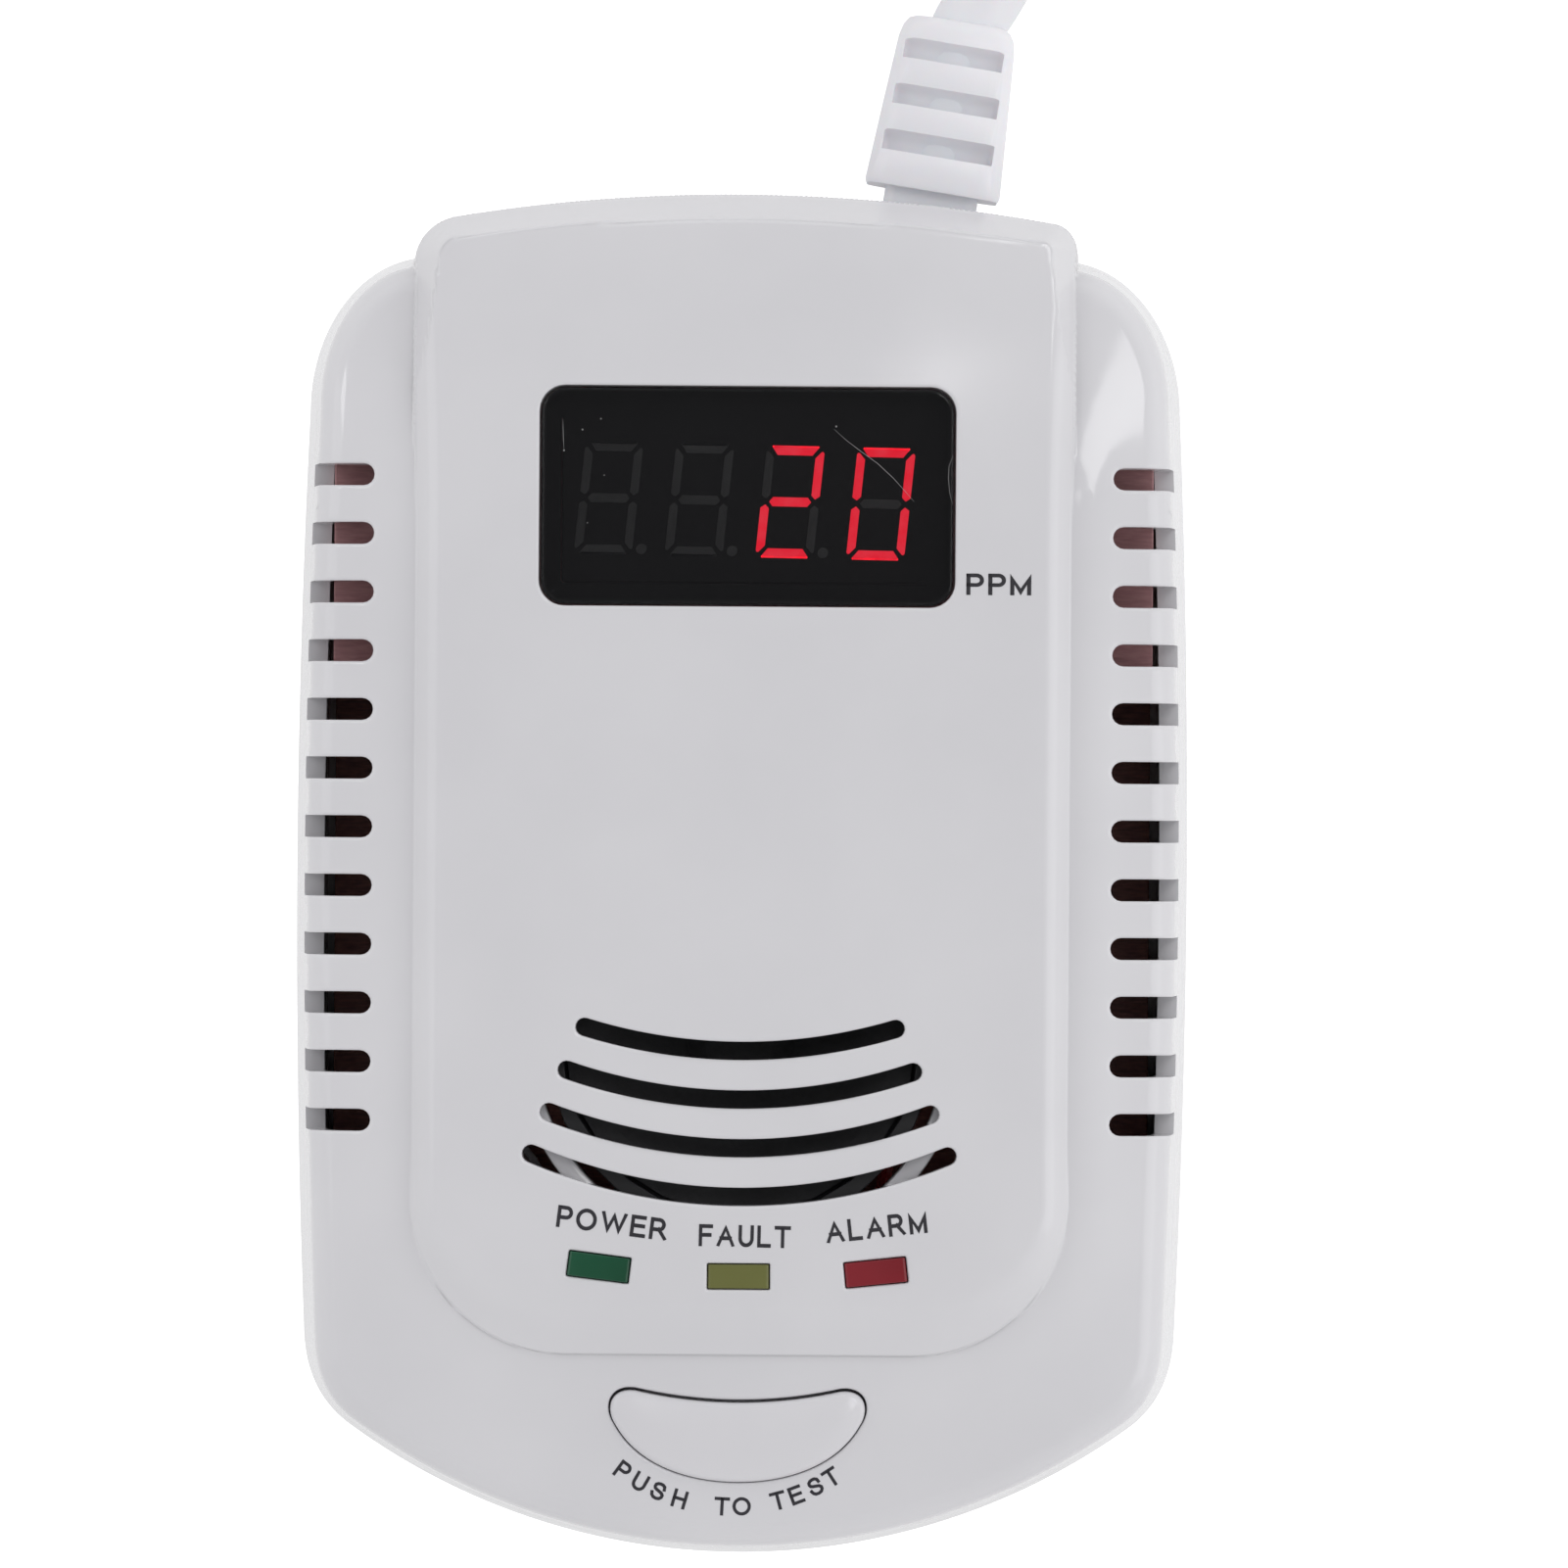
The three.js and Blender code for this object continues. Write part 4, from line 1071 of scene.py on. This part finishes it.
def button():
    """The cap: a flange under the case, a rounded edge and a slightly crowned top."""
    outline = evenly(button_outline(0), 0.5) - [0, 0.1]
    flange = ((0.8, BUTTON["under"]), (0.8, 32.3), (0.75, 32.5), (0.02, 32.6))
    rings = [level_ring(offset(outline, -out), z) for out, z in flange]
    rings += edge_rings(outline, BUTTON["top"], BUTTON["edge"], 5)
    inner = offset(outline, BUTTON["edge"])
    along = outline[:, 0] * 0.8
    spine = np.column_stack([along, BUTTON["spine_y"] + 0.026 * along**2])
    for share in (0.12, 0.26, 0.42, 0.6, 0.8, 0.96):
        flat = inner * (1 - share) + spine * share
        rings.append(level_ring(flat, BUTTON["top"] + BUTTON["crown"] * (1 - (1 - share) ** 2)))
    piece = lofted("test_button_cap", rings, "button_white", body="button")
    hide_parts("test_button")


button()

# ---------------------------------------------------------------- printed words


PEN = 0.105  # half the width of a letter's stroke; letters are 1 high
LETTER_GAP = 0.22
BOWL = [(0, 1), *arc(0.42, 0.73, 0.27, 90, -90, 12), (0, 0.46)]
GLYPHS = {
    "P": [[(0, 0), (0, 1)], BOWL],
    "R": [[(0, 0), (0, 1)], BOWL, [(0.42, 0.48), (0.8, 0)]],
    "M": [[(0, 0), (0, 1), (0.43, 0.02), (0.86, 1), (0.86, 0)]],
    "O": [[*arc(0.5, 0.5, 0.5, 0, 345, 24), (1, 0.5)]],
    "W": [[(0, 1), (0.31, 0), (0.64, 1), (0.97, 0), (1.28, 1)]],
    "E": [[(0.68, 1), (0, 1), (0, 0), (0.7, 0)], [(0, 0.53), (0.64, 0.53)]],
    "F": [[(0, 0), (0, 1), (0.66, 1)], [(0, 0.52), (0.58, 0.52)]],
    "A": [[(0, 0), (0.44, 1), (0.88, 0)], [(0.16, 0.36), (0.72, 0.36)]],
    "U": [[(0, 1), *arc(0.37, 0.37, 0.37, 180, 360, 14), (0.74, 1)]],
    "L": [[(0, 1), (0, 0), (0.64, 0)]],
    "T": [[(0, 1), (0.8, 1)], [(0.4, 1), (0.4, 0)]],
    "H": [[(0, 0), (0, 1)], [(0.74, 0), (0.74, 1)], [(0, 0.52), (0.74, 0.52)]],
    "S": [[(0.7, 0.73), (0.66, 0.9), (0.52, 0.99), (0.36, 1), (0.2, 0.97), (0.07, 0.87), (0.05, 0.74),
           (0.1, 0.63), (0.24, 0.56), (0.45, 0.5), (0.62, 0.44), (0.72, 0.33), (0.71, 0.19), (0.6, 0.06),
           (0.4, 0), (0.2, 0.03), (0.06, 0.14), (0, 0.3)]],
}


def strip(left, right):
    """A flat band between two lines of as many points: its points and faces."""
    count = len(left)
    return np.concatenate([left, right]), [(count + i, count + i + 1, i + 1, i) for i in range(count - 1)]


def merged(parts):
    """The points and the faces of several flat meshes as one."""
    faces, start = [], 0
    for points, found in parts:
        faces += [tuple(v + start for v in f) for f in found]
        start += len(points)
    return np.concatenate([points for points, found in parts]), faces


def stroke(line):
    """A pen stroke along a line, square at its ends: its points and faces."""
    line = np.array(line, float)
    step = np.diff(line, axis=0)
    step /= np.linalg.norm(step, axis=1)[:, None]
    if np.allclose(line[0], line[-1]):
        before, after = np.vstack([step[-1:], step]), np.vstack([step, step[:1]])
    else:
        before, after = np.vstack([step[:1], step]), np.vstack([step, step[-1:]])
        line[0] -= PEN * step[0]
        line[-1] += PEN * step[-1]
    square = before[:, ::-1] * [-1, 1]
    mitre = square + after[:, ::-1] * [-1, 1]
    mitre /= np.linalg.norm(mitre, axis=1)[:, None]
    reach = PEN / np.maximum((mitre * square).sum(1), 0.15)[:, None]
    points, faces = strip(line + mitre * reach, line - mitre * reach)
    points[:, 1] = np.clip(points[:, 1], -PEN, 1 + PEN)
    return points, faces


def word(text, cap, long=None):
    """A word as a flat mesh: its points about its middle, in millimetres, and its faces."""
    parts, pen = [], 0.0
    for letter in text:
        strokes = [stroke(line) for line in GLYPHS[letter]]
        low = min(points[:, 0].min() for points, faces in strokes)
        high = max(points[:, 0].max() for points, faces in strokes)
        parts += [(points + [pen - low, 0], faces) for points, faces in strokes]
        pen += high - low + LETTER_GAP
    points, faces = merged(parts)
    size = np.ptp(points, axis=0)
    points -= (points.max(0) + points.min(0)) / 2
    return points * [long / size[0] if long else cap / size[1], cap / size[1]], faces


def print_words(name, places):
    """Words printed on the case: text, middle, turn, height and length."""
    parts = []
    for text, x, y, turn, cap, long in places:
        flat, found = word(text, cap, long)
        parts.append((placed(flat, x, y, turn), found))
    flat, faces = merged(parts)
    level = case_surface(flat)[0]
    piece = make_mesh(name, np.column_stack([flat, level + 0.02]), faces)
    piece.data.materials.append(INK)
    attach(piece, "case")


BEND = {"x": -0.5, "y": -36.5, "radius": 15.0}
LETTERS = zip("PUSHTOTEST", (-36.1, -29.7, -23.4, -16.2, -2.75, 3.4, 15.0, 20.9, 27.3, 33.2))
print_words("printed_words", [
    ("PPM", 20.85, 24.0, 0, 1.75, 5.3),
    ("POWER", -10.3, -28.3, -7, 1.8, 9.1),
    ("FAULT", 0.5, -29.3, -1, 1.8, 7.5),
    ("ALARM", 11.2, -28.5, 6.5, 1.8, 8.3),
    *[(letter, BEND["x"] + BEND["radius"] * math.sin(math.radians(a)),
       BEND["y"] - BEND["radius"] * math.cos(math.radians(a)), a, 1.5, None) for letter, a in LETTERS],
])

# ---------------------------------------------------------------- wear on the window

SCRATCH_HALF = 0.024  # half the width of a scratch at its middle
SCRATCHES = [
    [(7.3, 36.6), (8.3, 35.7), (9.5, 34.8), (10.9, 33.8), (12.2, 32.6), (13.2, 31.5), (13.9, 30.7)],
    [(-14.8, 37.2), (-14.78, 36.4), (-14.75, 35.6), (-14.7, 34.8)],
    [(17.05, 34.5), (16.72, 33.6), (16.68, 32.6), (16.8, 31.4), (17.05, 30.5)],
]
# each speck: x, y and radius
SPECKS = [(-11.7, 37.3, 0.06), (-13.2, 36.4, 0.07), (-11.4, 32.7, 0.05), (-12.75, 28.8, 0.05),
          (7.5, 36.8, 0.08), (-14.7, 34.7, 0.08)]


def window_wear():
    """Hair scratches and specks of dust on the window."""
    parts = []
    for line in SCRATCHES:
        line = np.array(line)
        along = np.gradient(line, axis=0)
        half = SCRATCH_HALF * np.sin(np.linspace(0.3, math.pi - 0.3, len(line)))
        side = along[:, ::-1] * [-1, 1] * (half / np.linalg.norm(along, axis=1))[:, None]
        parts.append(strip(line + side, line - side))
    for x, y, radius in SPECKS:
        ring = arc(x, y, radius, 0, 315, 8)
        parts.append((np.array(ring), [tuple(range(len(ring)))]))
    flat, faces = merged(parts)
    piece = make_mesh("window_wear", level_ring(flat, WINDOW["face"] + 0.01), faces)
    piece.data.materials.append(DUST)
    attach(piece, "case")


window_wear()

# ---------------------------------------------------------------- display board

BOARD = {"half": 33.7, "low": 14.5, "notch_x": 26.0, "notch_y": 35.0, "high": 46.0, "under": 25.0,
         "top": 26.6}


def display_board():
    """The board behind the upper vents, as wide as the case lets it be. Its brown is painted lighter, as
    painted light that stands in for the light reaching it through the vents.
    """
    corners = [(BOARD["half"], BOARD["low"]), (BOARD["half"], BOARD["notch_y"]),
               (BOARD["notch_x"], BOARD["notch_y"]), (BOARD["notch_x"], BOARD["high"])]
    outline = np.array(corners + [(-x, y) for x, y in corners[::-1]])
    piece = lofted("display_board_sheet", plate_rings(outline, BOARD["under"], BOARD["top"], 0.08, 2),
                   "brown_board", material=PAINTED_LIT_BOARD)
    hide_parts("display_board")


display_board()

# ---------------------------------------------------------------- nodes that stay

# each node: its slot and the width of its softened edges
STAYING = {
    "rear_case": ("case_white", 0.25), "display_module": ("display_face", 0.1),
    "lamp_board": ("brown_board", 0.08), "main_board": ("brown_board", 0.08),
    "switch_body": ("black_plastic", 0.12), "switch_plunger": ("black_plastic", 0.15),
    "speaker_frame": ("black_plastic", 0.12), "speaker_cone": ("cone_paper", 0),
    "speaker_magnet": ("steel", 0.15), "gas_sensor": ("steel", 0.15), "transformer": ("yellow_tape", 0.2),
    "capacitor_large": ("blue_sleeve", 0.1), "capacitor_small": ("blue_sleeve", 0.1),
    "fuse": ("fuse_glass", 0.25), "varistor": ("blue_sleeve", 0.3),
    "bridge_rectifier": ("black_plastic", 0.12), "microcontroller": ("black_plastic", 0.1),
    "display_header": ("black_plastic", 0.1), "lamp_header": ("black_plastic", 0.1),
    "mains_lead_live": ("brown_wire", 0), "mains_lead_neutral": ("blue_wire", 0),
    "speaker_lead_red": ("red_wire", 0), "speaker_lead_black": ("black_wire", 0),
    **{f"case_screw_{k}": ("steel", 0.1) for k in (1, 2, 3, 4)},
    **{f"board_screw_{k}": ("steel", 0.1) for k in (1, 2)},
}
for node, (slot, edge) in STAYING.items():
    dress(node, slot, edge)

# ---------------------------------------------------------------- floor and light


def floor():
    """A wide pale floor that is clear from below, so that the back can be seen."""
    material, nodes, links, shader = new_material("pale_floor")
    shader.inputs["Base Color"].default_value = (0.4, 0.4, 0.4, 1)
    shader.inputs["Roughness"].default_value = 0.9
    shader.inputs["Emission Color"].default_value = (1, 1, 1, 1)
    path = nodes.new("ShaderNodeLightPath")
    glow = nodes.new("ShaderNodeMapRange")
    glow.inputs["To Min"].default_value = 0.5
    glow.inputs["To Max"].default_value = 1.1
    links.new(path.outputs["Is Camera Ray"], glow.inputs["Value"])
    links.new(glow.outputs["Result"], shader.inputs["Emission Strength"])
    geometry_node = nodes.new("ShaderNodeNewGeometry")
    clear = nodes.new("ShaderNodeBsdfTransparent")
    either = nodes.new("ShaderNodeMixShader")
    links.new(geometry_node.outputs["Backfacing"], either.inputs["Fac"])
    links.new(shader.outputs["BSDF"], either.inputs[1])
    links.new(clear.outputs["BSDF"], either.inputs[2])
    links.new(either.outputs["Shader"], nodes["Material Output"].inputs["Surface"])
    far = 4000
    piece = make_mesh("floor", [(-far, -far, 0), (far, -far, 0), (far, far, 0), (-far, far, 0)],
                      [(0, 1, 2, 3)], smooth=False)
    piece.location.z = -0.05 * MM
    piece.data.materials.append(material)


def area_light(name, place, target, size, power):
    data = bpy.data.lights.new(name, "AREA")
    data.shape = "RECTANGLE"
    data.size, data.size_y = size
    data.energy = power
    light = bpy.data.objects.new(name, data)
    light.location = place
    light.rotation_euler = (Vector(target) - Vector(place)).to_track_quat("-Z", "Y").to_euler()
    light.visible_camera = False
    bpy.context.collection.objects.link(light)


def studio_world():
    """A pale dome, darker overhead and a little brighter towards +X and +Y."""
    world = bpy.data.worlds.new("studio")
    world.use_nodes = True
    nodes, links = world.node_tree.nodes, world.node_tree.links
    axes = nodes.new("ShaderNodeSeparateXYZ")
    links.new(nodes.new("ShaderNodeTexCoord").outputs["Generated"], axes.inputs["Vector"])
    dome = nodes.new("ShaderNodeValToRGB")
    stops = dome.color_ramp.elements
    stops[0].position, stops[0].color = 0.0, (1, 1, 1, 1)
    stops[1].position, stops[1].color = 0.6, (0.72, 0.72, 0.74, 1)
    for place, level in ((0.88, 0.5), (0.97, 0.28), (0.99, 0.17)):
        stops.new(place).color = (level, level, level * 1.02, 1)
    links.new(axes.outputs["Z"], dome.inputs["Fac"])
    sides = nodes.new("ShaderNodeMath")
    sides.operation = "MULTIPLY_ADD"
    links.new(axes.outputs["Y"], sides.inputs[0])
    sides.inputs[1].default_value = 0.06
    sides.inputs[2].default_value = 1.1
    ends = nodes.new("ShaderNodeMath")
    ends.operation = "MULTIPLY_ADD"
    links.new(axes.outputs["X"], ends.inputs[0])
    ends.inputs[1].default_value = 0.1
    links.new(sides.outputs["Value"], ends.inputs[2])
    links.new(dome.outputs["Color"], nodes["Background"].inputs["Color"])
    links.new(ends.outputs["Value"], nodes["Background"].inputs["Strength"])
    bpy.context.scene.world = world


# each light: place, target and size in metres, and watts
LIGHTS = {
    "key": ((0.475, 0.545, 1.45), (0, 0, 0.1), (0.45, 0.55), 2.9),
    "corner": ((0.13, 0.215, 1.4), (0, 0, 0.1), (0.055, 0.06), 0.035),
    "window": ((-0.8, 0.5, 1.15), (0, 0, 0.1), (0.25, 0.3), 0.8),
    "fill": ((-0.95, 0.2, 0.7), (0, 0, 0), (0.5, 0.8), 0.8),
    "side": ((0.95, -0.1, 0.7), (0, 0, 0), (0.5, 0.8), 1.2),
}

floor()
studio_world()
for name, setting in LIGHTS.items():
    area_light(name, *setting)
bpy.context.scene.view_settings.view_transform = "Standard"
